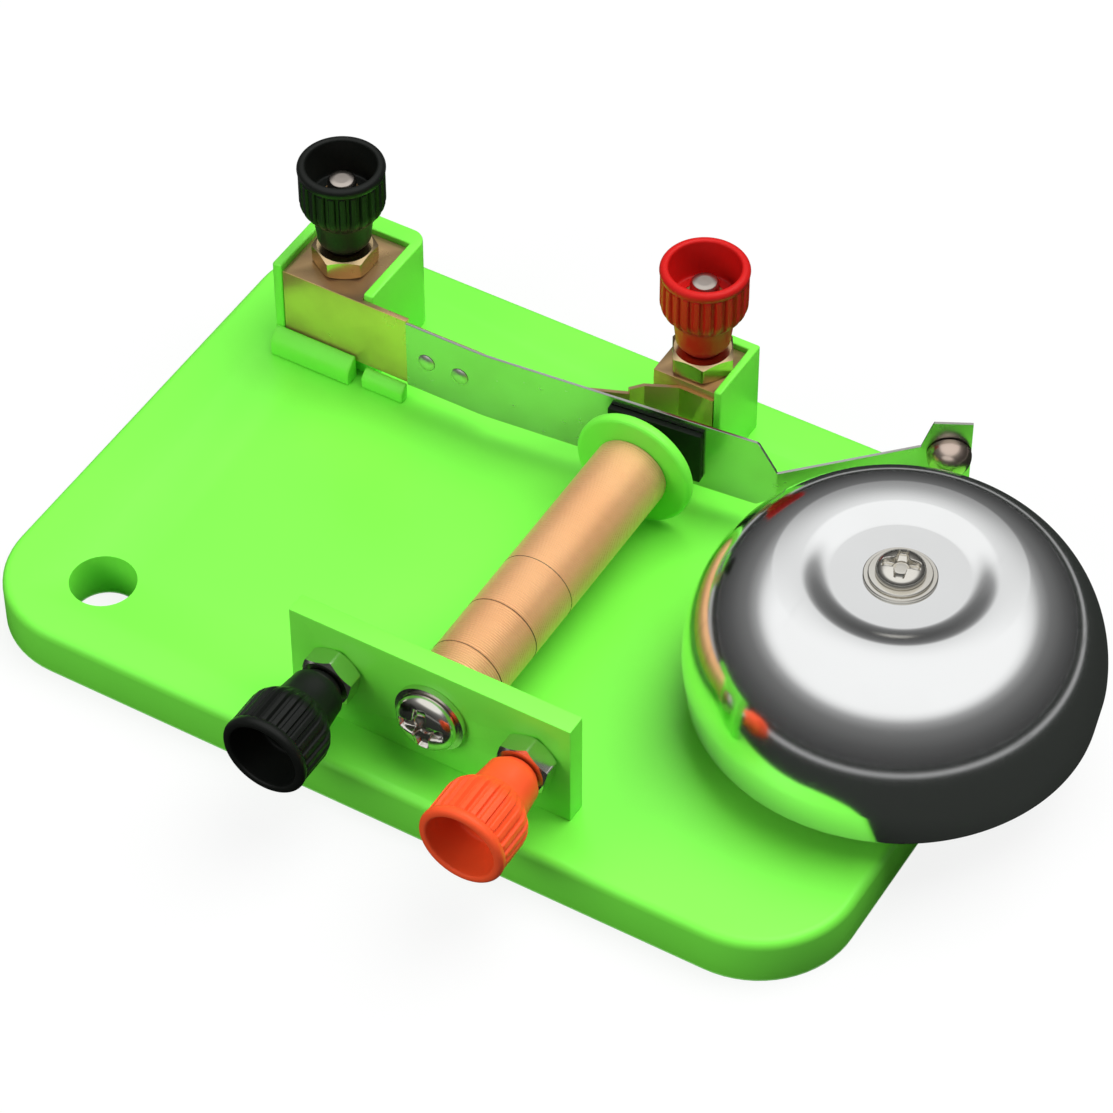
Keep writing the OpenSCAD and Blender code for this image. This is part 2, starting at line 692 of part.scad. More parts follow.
// Sweep of a round tube along a path, with all rings turned about the given centre line.
module swept_tube(path, d, sides, ups) {
    n = len(path);
    dirs = [for (i = [0:n - 1])
        let (v = path[min(i + 1, n - 1)] - path[max(i - 1, 0)]) v / norm(v)];
    rings = [for (i = [0:n - 1]) let (
            side = cross(dirs[i], ups[i]) / norm(cross(dirs[i], ups[i])),
            up = cross(side, dirs[i]))
        for (k = [0:sides - 1]) let (a = 360 * (k + 0.5) / sides)
            path[i] + d / 2 * (cos(a) * side + sin(a) * up)];
    faces = concat(
        [for (i = [0:n - 2], k = [0:sides - 1]) let (
                a = i * sides + k, b = i * sides + (k + 1) % sides)
            each [[a, a + sides, b], [b, a + sides, b + sides]]],
        [for (k = [1:sides - 2]) [0, k, k + 1]],
        [for (k = [1:sides - 2]) let (o = (n - 1) * sides) [o, o + k + 1, o + k]]);
    polyhedron(rings, faces);
}

module coil_outer_layer() {
    path = wire_path();
    ups = [for (p = path) [p.x, p.y, 0] / norm([p.x, p.y])];
    gap = min([for (i = [0:len(path) - turn_steps - 2], j = [-1:1])
        norm(path[i] - path[i + turn_steps + j])]) - wire_d;
    echo("least gap between turns, mm", gap);
    color(copper) translate([coil_x, winding_y0, coil_z]) rotate([-90, 0, 0])
        swept_tube(path, wire_d, wire_sides, ups);
}

// Leads from the winding's front end to the lugs, hidden behind the panel.
lead_d = 0.7;
lug_t = 0.5;
lug_y = panel_rear_y + face_gap;
lug_tail_l = 7;
lug_angle = 38;
function lug_eye(side) = let (x = stud_mid_x + side * panel_stud_pitch / 2)
    [x - side * (lug_tail_l - 1) * cos(lug_angle), lug_y,
    panel_stud_z - (lug_tail_l - 1) * sin(lug_angle)];
function lead_path(side) = let (
        eye = lug_eye(side),
        y0 = lug_y + lug_t + lead_d / 2 + face_gap,
        end_x = coil_x + side * (winding_d / 2 + lead_d / 2 + face_gap))
    [[eye.x - side * 0.2, y0, eye.z], [eye.x - side * 0.7, y0 + 0.3, eye.z - 0.1],
    [eye.x - side * 1.1, y0 + 0.8, eye.z - 0.1], [end_x, y0 + 1.3, eye.z + 0.2],
    [end_x, y0 + 1.6, eye.z + 1.2], [end_x, y0 + 1.7, eye.z + 2.2]];
module coil_lead(side) color(copper) let (path = lead_path(side))
    swept_tube(path, lead_d, 8, [for (p = path) [0, 0.2, 1]]);
module left_coil_lead() coil_lead(-1);
module right_coil_lead() coil_lead(1);

module lug(side) color(nickel)
    translate([stud_mid_x + side * panel_stud_pitch / 2, lug_y, panel_stud_z]) rotate([-90, 0, 0])
        difference() {
            union() {
                cylinder(d = stud_head_d, h = lug_t);
                rotate(side > 0 ? 180 - lug_angle : lug_angle)
                    translate([0, -1.3, 0]) cube([lug_tail_l, 2.6, lug_t]);
            }
            translate([0, 0, -1]) cylinder(d = stud_d + 2 * fit_gap, h = lug_t + 2);
        }
module left_lug() lug(-1);
module right_lug() lug(1);

module iron_core() color(steel)
    translate([coil_x, panel_rear_y + face_gap, coil_z]) rotate([-90, 0, 0]) difference() {
        cylinder(d = core_d, h = pole_y - panel_rear_y - face_gap);
        translate([0, 0, -1]) cylinder(d = core_screw_d + 2 * face_gap,
            h = core_screw_l - panel_t + 1);
    }

module core_washer() color(nickel)
    facing_front(coil_x, panel_front_y - face_gap, coil_z)
        ring_washer(core_washer_d, core_screw_d + 2 * fit_gap, core_washer_t);

module core_screw() color(nickel)
    facing_front(coil_x, panel_front_y - core_washer_t - 2 * face_gap, coil_z) {
        pan_head(core_head_d, core_head_h);
        rotate([180, 0, 0]) translate([0, 0, -eps]) stud_rod(core_screw_d, core_screw_l);
    }

// ---------------------------------------------------------------- binding posts

// Panel stud: its head is behind the panel, and it points forward through the panel.
module panel_stud(x) color(nickel)
    facing_front(x, lug_y + lug_t + face_gap, panel_stud_z) {
        translate([0, 0, -stud_head_h]) cylinder(d = stud_head_d, h = stud_head_h);
        stud_rod(stud_d, lug_y + lug_t + face_gap - panel_tip_y);
    }
module front_left_stud() panel_stud(panel_stud_xs[0]);
module front_right_stud() panel_stud(panel_stud_xs[1]);

module panel_nut(x) color(nickel)
    facing_front(x, panel_front_y - face_gap / 2, panel_stud_z)
        rotate(18) hex_nut(panel_nut_af, nut_h - face_gap / 2, stud_d + 2 * face_gap);
module front_left_nut() panel_nut(panel_stud_xs[0]);
module front_right_nut() panel_nut(panel_stud_xs[1]);

// Rear stud: a long screw from under the deck, through the boss, the bracket and the nut.
module rear_stud(x, y) color(nickel) {
    head_z = base_t - deck_t - face_gap;
    translate([x, y, head_z]) {
        rotate([180, 0, 0]) pan_head(stud_head_d, stud_head_h);
        translate([0, 0, -eps]) stud_rod(stud_d, rear_tip_z - head_z);
    }
}
module rear_left_stud() rear_stud(left_post_x, left_post_y);
module rear_right_stud() rear_stud(right_post_x, right_post_y);

// The left nut was tightened with a flat to the front, the right one with a corner.
module rear_nut(x, y, turn) color(brass) translate([x, y, bracket_z + face_gap / 2])
    rotate(turn) hex_nut(rear_nut_af, nut_h - face_gap / 2, stud_d + 2 * face_gap);
module rear_left_nut() rear_nut(left_post_x, left_post_y, 30);
module rear_right_nut() rear_nut(right_post_x, right_post_y, 0);

cup_floor = knob_l - knob_cup_depth;
insert_z0 = 0.9;
cup_floor_r = 4.4;
barrel_z = 6;

// Fluted outline of the barrel: each rib has a flat crest and sloping sides.
rib_r = knob_mouth_d / 2 - 0.12;
function fluted() = [for (i = [0:flute_count - 1], k = [0:3])
    let (a = 360 / flute_count * (i + [0, 0.42, 0.58, 0.84][k]),
        q = rib_r - (k < 2 ? 0 : flute_depth))
    [q * cos(a), q * sin(a)]];

// Knob from its foot at z = 0 to its mouth at z = knob_l.
module knob() {
    root_r = rib_r - flute_depth - 0.2;
    rim_z = knob_l - 1.2;
    difference() {
        union() {
            rotate_extrude()
                polygon([[0, 0], [knob_foot_d / 2, 0], [knob_neck_d / 2, 1.4],
                    [knob_neck_d / 2 + 0.35, barrel_z - 1.4],
                    [knob_mouth_d / 2 - 1.4, barrel_z + 0.3], [root_r, barrel_z + 2.4],
                    [root_r, rim_z], [knob_mouth_d / 2, rim_z],
                    [knob_mouth_d / 2, knob_l - 0.3], [knob_mouth_d / 2 - 0.3, knob_l],
                    [0, knob_l]]);
            intersection() {
                rotate_extrude()
                    polygon([[0, barrel_z - 0.9], [knob_mouth_d / 2 - 1.55, barrel_z - 0.9],
                        [knob_mouth_d / 2 + 1, barrel_z + 4.2], [knob_mouth_d / 2 + 1, knob_l],
                        [0, knob_l]]);
                translate([0, 0, barrel_z - 1.5]) linear_extrude(rim_z - barrel_z + 1.8)
                    polygon(fluted());
            }
        }
        rotate_extrude()
            polygon([[0, cup_floor], [cup_floor_r, cup_floor],
                [knob_mouth_d / 2 - knob_rim_wall, knob_l - 0.5],
                [knob_mouth_d / 2 - knob_rim_wall + 0.5, knob_l + 0.5], [0, knob_l + 0.5]]);
        translate([0, 0, -1]) cylinder(d = stud_d + 4 * turn_gap, h = knob_l);
        translate([0, 0, insert_z0]) cylinder(d = insert_d + 2 * turn_gap, h = knob_l);
    }
}

// Threaded brass insert inside a knob.
module insert() difference() {
    translate([0, 0, insert_z0 + face_gap])
        cylinder(d = insert_d, h = cup_floor - insert_z0 - face_gap);
    translate([0, 0, -1]) cylinder(d = stud_d + 2 * turn_gap, h = knob_l);
}

module at_panel(i) facing_front(panel_stud_xs[i], panel_foot_y, panel_stud_z) children();
module at_left_post() translate([left_post_x, left_post_y, rear_foot_z]) children();
module at_right_post() translate([right_post_x, right_post_y, rear_foot_z]) children();

module front_left_knob() color(black) at_panel(0) knob();
module front_right_knob() color(front_red) at_panel(1) knob();
module rear_left_knob() color(black) at_left_post() knob();
module rear_right_knob() color(rear_red) at_right_post() knob();
module front_left_insert() color(brass) at_panel(0) insert();
module front_right_insert() color(brass) at_panel(1) insert();
module rear_left_insert() color(brass) at_left_post() insert();
module rear_right_insert() color(brass) at_right_post() insert();

// ---------------------------------------------------------------- gong

// Outside of the gong, from the rim up to the ring round the dish, inset by t.
function gong_side(t) = concat(
    [[gong_rim_d / 2 - t, 0]],
    arc(gong_d / 2 - gong_shoulder_w, gong_skirt_h, gong_shoulder_w - t,
        gong_h - gong_skirt_h - t, 0, 84, 14));

// Slope of the dish, from its ring down to its floor, moved down by t.
function dish_side(t) = let (w = dish_r - dish_floor_r, h = dish_depth - 0.12)
    [for (i = [0:8]) let (q = i / 8)
        [dish_r - w * q, gong_h - 0.12 - t - h * (0.5 - 0.5 * cos(180 * q))]];

module gong() color(nickel) translate([gong_x, gong_y, gong_rim_z]) difference() {
    rotate_extrude() polygon(concat(
        gong_side(0),
        dish_side(0), [[0, dish_floor_h], [0, dish_floor_h - gong_t]],
        [for (i = [len(dish_side(0)) - 1:-1:0]) dish_side(gong_t)[i]],
        [for (i = [len(gong_side(gong_t)) - 1:-1:0]) gong_side(gong_t)[i]]));
    cylinder(d = gong_screw_d + 2 * fit_gap, h = gong_h + 1);
}

module gong_pillar() color(nickel) difference() {
    top_z = gong_seat_z - gong_t - face_gap;
    translate([gong_x, gong_y, deck_z + face_gap])
        cylinder(d = pillar_d, h = top_z - deck_z - face_gap);
    translate([gong_x, gong_y, 0])
        cylinder(d = gong_screw_d + 2 * face_gap, h = gong_seat_z + 1);
}

module gong_washer() color(nickel) translate([gong_x, gong_y, gong_seat_z + face_gap])
    ring_washer(gong_washer_d, gong_screw_d + 2 * fit_gap, gong_washer_t);

module gong_spring_washer() color(steel)
    translate([gong_x, gong_y, gong_seat_z + gong_washer_t + 2 * face_gap]) difference() {
        ring_washer(spring_washer_d, gong_screw_d + 2 * fit_gap, spring_washer_t);
        rotate(60) translate([0, -washer_slit / 2, -1]) rotate([20, 0, 0])
            cube([spring_washer_d, washer_slit, spring_washer_t + 3]);
    }

module gong_screw() color(nickel)
    translate([gong_x, gong_y, gong_seat_z + gong_washer_t + spring_washer_t + 3 * face_gap]) {
        pan_head(gong_head_d, gong_head_h);
        rotate([180, 0, 0]) translate([0, 0, -eps]) stud_rod(gong_screw_d, gong_screw_l);
    }

module pillar_screw() color(nickel) {
    head_z = base_t - deck_t - face_gap;
    translate([gong_x, gong_y, head_z]) {
        rotate([180, 0, 0]) pan_head(stud_head_d, stud_head_h);
        translate([0, 0, -eps]) stud_rod(gong_screw_d, deck_t + pillar_screw_grip);
    }
}

base_moulding();
terminal_panel();
left_boss();
right_boss();
left_ledge();
right_ledge();
left_bracket();
right_bracket();
contact_finger();
finger_rivet();
spring_root();
root_rivets();
armature_strip();
armature_iron();
hammer_dome();
bobbin();
coil_winding();
coil_outer_layer();
left_coil_lead();
right_coil_lead();
iron_core();
core_screw();
core_washer();
front_left_stud();
front_right_stud();
left_lug();
right_lug();
front_left_nut();
front_right_nut();
rear_left_stud();
rear_right_stud();
rear_left_nut();
rear_right_nut();
front_left_knob();
front_right_knob();
rear_left_knob();
rear_right_knob();
front_left_insert();
front_right_insert();
rear_left_insert();
rear_right_insert();
gong();
gong_pillar();
gong_screw();
gong_washer();
gong_spring_washer();
pillar_screw();
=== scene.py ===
"""Electric bell demonstrator: finishes, fine shapes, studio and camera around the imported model."""

import json
import math

import bpy
from mathutils import Matrix, Vector


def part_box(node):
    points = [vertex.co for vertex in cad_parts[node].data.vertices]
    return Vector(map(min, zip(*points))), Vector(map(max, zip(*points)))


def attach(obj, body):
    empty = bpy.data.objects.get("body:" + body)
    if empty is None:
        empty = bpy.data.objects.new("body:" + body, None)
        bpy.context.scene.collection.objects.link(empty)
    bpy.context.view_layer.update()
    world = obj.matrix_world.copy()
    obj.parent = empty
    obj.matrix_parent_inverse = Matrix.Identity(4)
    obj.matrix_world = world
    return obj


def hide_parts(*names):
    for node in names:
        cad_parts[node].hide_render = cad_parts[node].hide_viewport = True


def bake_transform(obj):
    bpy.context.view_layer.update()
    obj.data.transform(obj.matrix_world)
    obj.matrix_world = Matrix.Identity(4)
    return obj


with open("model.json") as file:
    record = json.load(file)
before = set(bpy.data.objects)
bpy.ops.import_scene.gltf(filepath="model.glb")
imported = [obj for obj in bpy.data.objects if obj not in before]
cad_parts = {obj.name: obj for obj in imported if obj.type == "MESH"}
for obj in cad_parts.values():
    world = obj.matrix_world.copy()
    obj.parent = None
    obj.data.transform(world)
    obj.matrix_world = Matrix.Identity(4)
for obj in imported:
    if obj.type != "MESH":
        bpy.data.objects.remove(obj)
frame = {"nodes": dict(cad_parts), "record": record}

# Sizes are written in millimetres and go into the scene times MM.
MM = 0.001
TURN = 2 * math.pi
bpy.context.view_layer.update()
SLOT_OF = {part["node"]: part["material_slot"] for part in frame["record"]["subparts"]}


# ---------------------------------------------------------------- camera

LOOK_AZIMUTH = math.radians(30.731)
LOOK_ELEVATION = math.radians(46.208)
LOOK_ROLL = math.radians(-0.18)
LOOK_DISTANCE = 602.43 * MM
AIM_RIGHT = 2.351 * MM
AIM_UP = 6.337 * MM
SENSOR = 36.0
LENS = 146.97
CLIP_NEAR = 0.01
CLIP_FAR = 20


def set_camera():
    """The camera that took the photograph, worked out from the base's edges."""
    back = Vector((
        math.sin(LOOK_AZIMUTH) * math.cos(LOOK_ELEVATION),
        -math.cos(LOOK_AZIMUTH) * math.cos(LOOK_ELEVATION),
        math.sin(LOOK_ELEVATION),
    ))
    level = Vector((math.cos(LOOK_AZIMUTH), math.sin(LOOK_AZIMUTH), 0))
    right = level * math.cos(LOOK_ROLL) + back.cross(level) * math.sin(LOOK_ROLL)
    up = back.cross(right)
    place = right * AIM_RIGHT + up * AIM_UP + back * LOOK_DISTANCE
    axes = Matrix((right, up, back)).transposed().to_4x4()
    camera = bpy.data.objects.new("camera", bpy.data.cameras.new("camera"))
    bpy.context.collection.objects.link(camera)
    camera.matrix_world = Matrix.Translation(place) @ axes
    camera.data.sensor_width = SENSOR
    camera.data.lens = LENS
    camera.data.clip_start = CLIP_NEAR
    camera.data.clip_end = CLIP_FAR
    bpy.context.scene.camera = camera


# ---------------------------------------------------------------- shader helpers


def feed(tree, value, socket):
    """Gives a socket its value: a number or a tuple is set, another socket is linked."""
    if isinstance(value, (int, float, tuple)):
        socket.default_value = value
    else:
        tree.links.new(value, socket)


def new_group(name, inputs, outputs):
    """A shader node group with float inputs {name: default} and named float outputs."""
    group = bpy.data.node_groups.new(name, "ShaderNodeTree")
    for label, default in inputs.items():
        socket = group.interface.new_socket(label, in_out="INPUT", socket_type="NodeSocketFloat")
        socket.default_value = default
    for label in outputs:
        group.interface.new_socket(label, in_out="OUTPUT", socket_type="NodeSocketFloat")
    start = group.nodes.new("NodeGroupInput")
    end = group.nodes.new("NodeGroupOutput")
    return group, start.outputs, end.inputs


def place_noise(tree, scale, detail, stretch=(1, 1, 1)):
    """Noise over object space, stretched along the axes. The scale is a socket or a number."""
    where = tree.nodes.new("ShaderNodeTexCoord")
    mapping = tree.nodes.new("ShaderNodeMapping")
    noise = tree.nodes.new("ShaderNodeTexNoise")
    feed(tree, where.outputs["Object"], mapping.inputs["Vector"])
    feed(tree, stretch, mapping.inputs["Scale"])
    feed(tree, mapping.outputs["Vector"], noise.inputs["Vector"])
    feed(tree, scale, noise.inputs["Scale"])
    feed(tree, detail, noise.inputs["Detail"])
    return noise.outputs["Fac"]


def place_math(tree, operation, a, b):
    """A Math node. a and b are sockets or numbers."""
    node = tree.nodes.new("ShaderNodeMath")
    node.operation = operation
    feed(tree, a, node.inputs[0])
    feed(tree, b, node.inputs[1])
    return node.outputs[0]


def place_range(tree, value, taken, given):
    """Stretches a value from the range taken to the range given, and holds it there."""
    node = tree.nodes.new("ShaderNodeMapRange")
    feed(tree, value, node.inputs["Value"])
    for label, level in zip(("From Min", "From Max", "To Min", "To Max"), taken + given):
        node.inputs[label].default_value = level
    return node.outputs["Result"]


def place_mix(tree, factor, first, second):
    """Mix of two colours. Each is a socket or an RGBA value."""
    node = tree.nodes.new("ShaderNodeMix")
    node.data_type = "RGBA"
    for value, socket in zip((factor, first, second), (node.inputs[0], node.inputs[6], node.inputs[7])):
        feed(tree, value, socket)
    return node.outputs[2]


def place_group(tree, group, values):
    node = tree.nodes.new("ShaderNodeGroup")
    node.node_tree = group
    for label, value in values.items():
        node.inputs[label].default_value = value
    return node.outputs


def place_bump(tree, height, strength, distance, shader):
    bump = tree.nodes.new("ShaderNodeBump")
    bump.inputs["Strength"].default_value = strength
    bump.inputs["Distance"].default_value = distance
    feed(tree, height, bump.inputs["Height"])
    feed(tree, bump.outputs["Normal"], shader.inputs["Normal"])


# ---------------------------------------------------------------- surface effects

# Noise scales are counts per metre, and masks are the noise levels where an effect starts and ends.
FULL = (0.0, 1.0)

SCUFF_SCALE = 260
SCUFF_STRETCH = (1, 7, 3)
SCUFF_MASK = (0.62, 0.72)
SCUFF_ROUGHNESS = 0.05
TONE_MASK = (0.3, 0.7)

STREAK_STRETCH = (0.05, 0.05, 1)
SCRATCH_SCALE = 500
SCRATCH_STRETCH = (1, 0.1, 2)
SCRATCH_MASK = (0.64, 0.7)
SCRATCH_ROUGHNESS = 0.04
CLOUD_MIDDLE = 0.45
TARNISH_MASK = (0.42, 0.68)
SMOOTHEST = 0.02


def make_moulding_skin():
    """Moulded plastic: broad uneven gloss, fine ripple, and a few hairline scuffs."""
    group, given, out = new_group(
        "moulding_skin",
        {"Patch Scale": 30.0, "Ripple Scale": 1800.0, "Gloss": 0.3, "Spread": 0.08},
        ("Tone", "Roughness", "Height"),
    )
    patch = place_noise(group, given["Patch Scale"], 3)
    ripple = place_noise(group, given["Ripple Scale"], 2)
    scuff = place_noise(group, SCUFF_SCALE, 6, SCUFF_STRETCH)
    swing = place_math(group, "SUBTRACT", patch, 0.5)
    spread = place_math(group, "MULTIPLY", swing, given["Spread"])
    rough = place_math(group, "ADD", given["Gloss"], spread)
    scuffed = place_range(group, scuff, SCUFF_MASK, (0.0, SCUFF_ROUGHNESS))
    feed(group, place_math(group, "ADD", rough, scuffed), out["Roughness"])
    feed(group, place_range(group, patch, TONE_MASK, FULL), out["Tone"])
    feed(group, ripple, out["Height"])
    return group


def make_metal_skin():
    """Handled metal: drawn streaks along one axis, cloudy tarnish and fine scratches."""
    group, given, out = new_group(
        "metal_skin",
        {"Streak Scale": 900.0, "Cloud Scale": 90.0, "Polish": 0.2, "Spread": 0.1},
        ("Tarnish", "Roughness", "Height"),
    )
    streak = place_noise(group, given["Streak Scale"], 3, STREAK_STRETCH)
    cloud = place_noise(group, given["Cloud Scale"], 5)
    scratch = place_noise(group, SCRATCH_SCALE, 8, SCRATCH_STRETCH)
    swing = place_math(group, "SUBTRACT", cloud, CLOUD_MIDDLE)
    spread = place_math(group, "MULTIPLY", swing, given["Spread"])
    rough = place_math(group, "ADD", given["Polish"], spread)
    scratched = place_range(group, scratch, SCRATCH_MASK, (0.0, SCRATCH_ROUGHNESS))
    rougher = place_math(group, "ADD", rough, scratched)
    feed(group, place_math(group, "MAXIMUM", rougher, SMOOTHEST), out["Roughness"])
    feed(group, place_range(group, cloud, TARNISH_MASK, FULL), out["Tarnish"])
    feed(group, streak, out["Height"])
    return group


MOULDING_SKIN = make_moulding_skin()
METAL_SKIN = make_metal_skin()


# ---------------------------------------------------------------- finishes

PLASTIC_TINT = 0.05
PLASTIC_SPREAD = 0.08
RIPPLE_STRENGTH = 0.12
RIPPLE_DEPTH = 0.00004
COAT_ROUGHNESS = 0.12
STREAK_DEPTH = 0.00003
UPWARD_MASK = (0.9, 0.99)
# Least share of the darker colour on the faces that look up.
UPWARD_DARK_LEAST = 0.75


def new_material(name):
    material = bpy.data.materials.new(name)
    material.use_nodes = True
    shader = next(n for n in material.node_tree.nodes if n.type == "BSDF_PRINCIPLED")
    return material, material.node_tree, shader


def opaque(colour, amount=1.0):
    return tuple(min(1.0, c * amount) for c in colour) + (1.0,)


def plastic(name, colour, gloss, patch=30.0, coat=0.0, shine=0.5):
    """Injection-moulded plastic."""
    material, tree, shader = new_material(name)
    values = {"Patch Scale": patch, "Gloss": gloss, "Spread": PLASTIC_SPREAD}
    skin = place_group(tree, MOULDING_SKIN, values)
    dark, light = opaque(colour, 1 - PLASTIC_TINT), opaque(colour, 1 + PLASTIC_TINT)
    feed(tree, place_mix(tree, skin["Tone"], dark, light), shader.inputs["Base Color"])
    feed(tree, skin["Roughness"], shader.inputs["Roughness"])
    shader.inputs["Specular IOR Level"].default_value = shine
    shader.inputs["Coat Weight"].default_value = coat
    shader.inputs["Coat Roughness"].default_value = COAT_ROUGHNESS
    place_bump(tree, skin["Height"], RIPPLE_STRENGTH, RIPPLE_DEPTH, shader)
    return material


def metal(name, colour, stain, polish, spread=0.1, streaks=900.0, clouds=90.0, grain=0.1, amount=0.5,
          upward_dark_colour=None, metallic=1.0):
    """Bare or plated metal with tarnish in patches. A darker colour goes on the faces that look up."""
    material, tree, shader = new_material(name)
    values = {"Streak Scale": streaks, "Cloud Scale": clouds, "Polish": polish, "Spread": spread}
    skin = place_group(tree, METAL_SKIN, values)
    patchy = place_math(tree, "MULTIPLY", skin["Tarnish"], amount)
    base = place_mix(tree, patchy, opaque(colour), opaque(stain))
    if upward_dark_colour is not None:
        shape = tree.nodes.new("ShaderNodeNewGeometry")
        split = tree.nodes.new("ShaderNodeSeparateXYZ")
        feed(tree, shape.outputs["Normal"], split.inputs["Vector"])
        upward = place_range(tree, split.outputs["Z"], UPWARD_MASK, FULL)
        uneven = place_range(tree, skin["Tarnish"], FULL, (UPWARD_DARK_LEAST, 1.0))
        upward_darkened = place_math(tree, "MULTIPLY", upward, uneven)
        base = place_mix(tree, upward_darkened, base, opaque(upward_dark_colour))
    feed(tree, base, shader.inputs["Base Color"])
    feed(tree, skin["Roughness"], shader.inputs["Roughness"])
    shader.inputs["Metallic"].default_value = metallic
    place_bump(tree, skin["Height"], grain, STREAK_DEPTH, shader)
    return material


FINISH = {
    "green_plastic": plastic("green_moulding", (0.175, 0.79, 0.058), 0.36, coat=0.12),
    "black_plastic": plastic("black_knob", (0.005, 0.006, 0.005), 0.42, patch=120, shine=0.28),
    "orange_red_plastic": plastic("orange_red_knob", (0.84, 0.085, 0.02), 0.42, patch=120, shine=0.4),
    "red_plastic": plastic("red_knob", (0.48, 0.006, 0.005), 0.42, patch=120, shine=0.35),
    # Brass goes darker brown on the faces that look up.
    "brass": metal("sheet_brass", (0.84, 0.60, 0.20), (0.62, 0.36, 0.15), 0.28,
                   upward_dark_colour=(0.40, 0.25, 0.15), metallic=0.8),
    "nut_brass": metal("nut_brass", (0.82, 0.62, 0.34), (0.60, 0.40, 0.22), 0.24),
    "spring_steel": metal("strip_steel", (0.62, 0.63, 0.60), (0.46, 0.44, 0.40), 0.24, streaks=1400),
    "nickel_plate": metal("nickel", (0.80, 0.78, 0.72), (0.55, 0.50, 0.42), 0.17, amount=0.3),
    "rivet_plate": metal("rivet", (0.74, 0.74, 0.68), (0.52, 0.48, 0.40), 0.42, amount=0.4),
    "stud_plate": metal("stud", (0.58, 0.52, 0.47), (0.36, 0.30, 0.24), 0.3, amount=0.6),
    # Near black: a dark iron, deepened with painted shade for the shadow it sits in between the spring
    # strip and the coil's flange.
    "soft_iron": metal("soft_iron", (0.040, 0.048, 0.040), (0.02, 0.02, 0.015), 0.62),
    "hammer_metal": metal("hammer", (0.70, 0.58, 0.50), (0.48, 0.34, 0.26), 0.24),
    "enamelled_copper": metal("copper_wire", (0.97, 0.56, 0.28), (0.90, 0.45, 0.20), 0.36,
                              streaks=300, clouds=60, grain=0.0, metallic=0.58),
    # Near-black brown rings: painted shade in the seams between the winding's turns.
    "painted_seam_shade": plastic("seam_shade", (0.10, 0.035, 0.012), 0.6),
    "gong_metal": metal("gong_plate", (0.90, 0.91, 0.91), (0.78, 0.78, 0.77), 0.13, spread=0.05,
                        clouds=40, grain=0.02, amount=0.25),
}


# ---------------------------------------------------------------- mesh helpers

SMOOTH_BELOW = 32.0
# Radius of a lathe's last ring where the outline reaches the axis.
POLE_R = 0.0001
LATHE_STEPS = 96


def polar(r, a, z):
    """Point at radius r and angle a round Z, in metres."""
    return (r * math.cos(a) * MM, r * math.sin(a) * MM, z * MM)


def ease(q):
    """Smooth step from 0 to 1."""
    q = min(1.0, max(0.0, q))
    return q * q * (3 - 2 * q)


def between(a, b, q):
    return a + (b - a) * q


def along(stops, z):
    """Value at z on a run of (z, value) stops."""
    for (z0, v0), (z1, v1) in zip(stops, stops[1:]):
        if z <= z1:
            return between(v0, v1, max(0.0, (z - z0) / (z1 - z0)))
    return stops[-1][1]


def arc(cx, cy, rx, ry, first, last, steps):
    """Points of an ellipse's arc, angles in degrees."""
    out = []
    for i in range(steps + 1):
        a = math.radians(between(first, last, i / steps))
        out.append((cx + rx * math.cos(a), cy + ry * math.sin(a)))
    return out


def add_piece(name, points, faces, finish, place=None, sharp=SMOOTH_BELOW):
    """A new mesh piece in the row frame, shaded smooth up to the sharp angle."""
    mesh = bpy.data.meshes.new(name)
    mesh.from_pydata(points, [], faces)
    mesh.validate()
    if place is not None:
        mesh.transform(place)
    mesh.materials.append(FINISH[finish])
    mesh.shade_smooth()
    mesh.set_sharp_from_angle(angle=math.radians(sharp))
    obj = bpy.data.objects.new(name, mesh)
    bpy.context.collection.objects.link(obj)
    return obj


def ring_faces(rings, around, closed_rings=True, first=0, flip=False):
    """Quads between rings of points, from point number first on; the last ring may join the first."""
    faces = []
    for i in range(rings if closed_rings else rings - 1):
        a = first + i * around
        b = first + (i + 1) % rings * around
        for k in range(around):
            n = (k + 1) % around
            face = (a + k, a + n, b + n, b + k)
            faces.append(face[::-1] if flip else face)
    return faces


def lathe(name, profile, finish, place, segments=LATHE_STEPS, ripple=None, sharp=SMOOTH_BELOW):
    """Revolves a closed outline of (radius, height) in millimetres about Z, anticlockwise points."""
    points = []
    for i, (r, z) in enumerate(profile):
        for k in range(segments):
            a = TURN * k / segments
            points.append(polar(r if ripple is None else ripple(i, r, z, a), a, z))
    return add_piece(name, points, ring_faces(len(profile), segments), finish, place, sharp)


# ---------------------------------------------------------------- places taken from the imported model


def box_mm(node):
    low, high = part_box(node)
    return Vector(low) / MM, Vector(high) / MM


def middle_mm(node):
    low, high = box_mm(node)
    return (low + high) / 2


def upright(x, y, z):
    """Place with its +Z pointing up."""
    return Matrix.Translation(Vector((x, y, z)) * MM)


def facing_front(x, y, z):
    """Place with its +Z pointing out of the panel, to -Y."""
    return upright(x, y, z) @ Matrix.Rotation(math.radians(90), 4, "X")


def facing_rear(x, y, z):
    """Place with its +Z pointing to +Y."""
    return upright(x, y, z) @ Matrix.Rotation(math.radians(-90), 4, "X")


# ---------------------------------------------------------------- knobs

KNOB_L = 14.2
MOUTH_R = 6.0
FOOT_R = 2.7
NECK_R = 3.7
RIB_R = 5.88
VALLEY_R = 5.46
CUP_R = 4.8
CUP_FLOOR_R = 4.4
CUP_DEPTH = 5.6
BORE_R = 2.95
STUD_HOLE_R = 2.1
FOOT_WALL = 0.9
RIM_ROUND = 0.7
LIP_ROUND = 0.38
CUP_FLOOR_ROUND = 0.4
KNOB_SHARP = 50

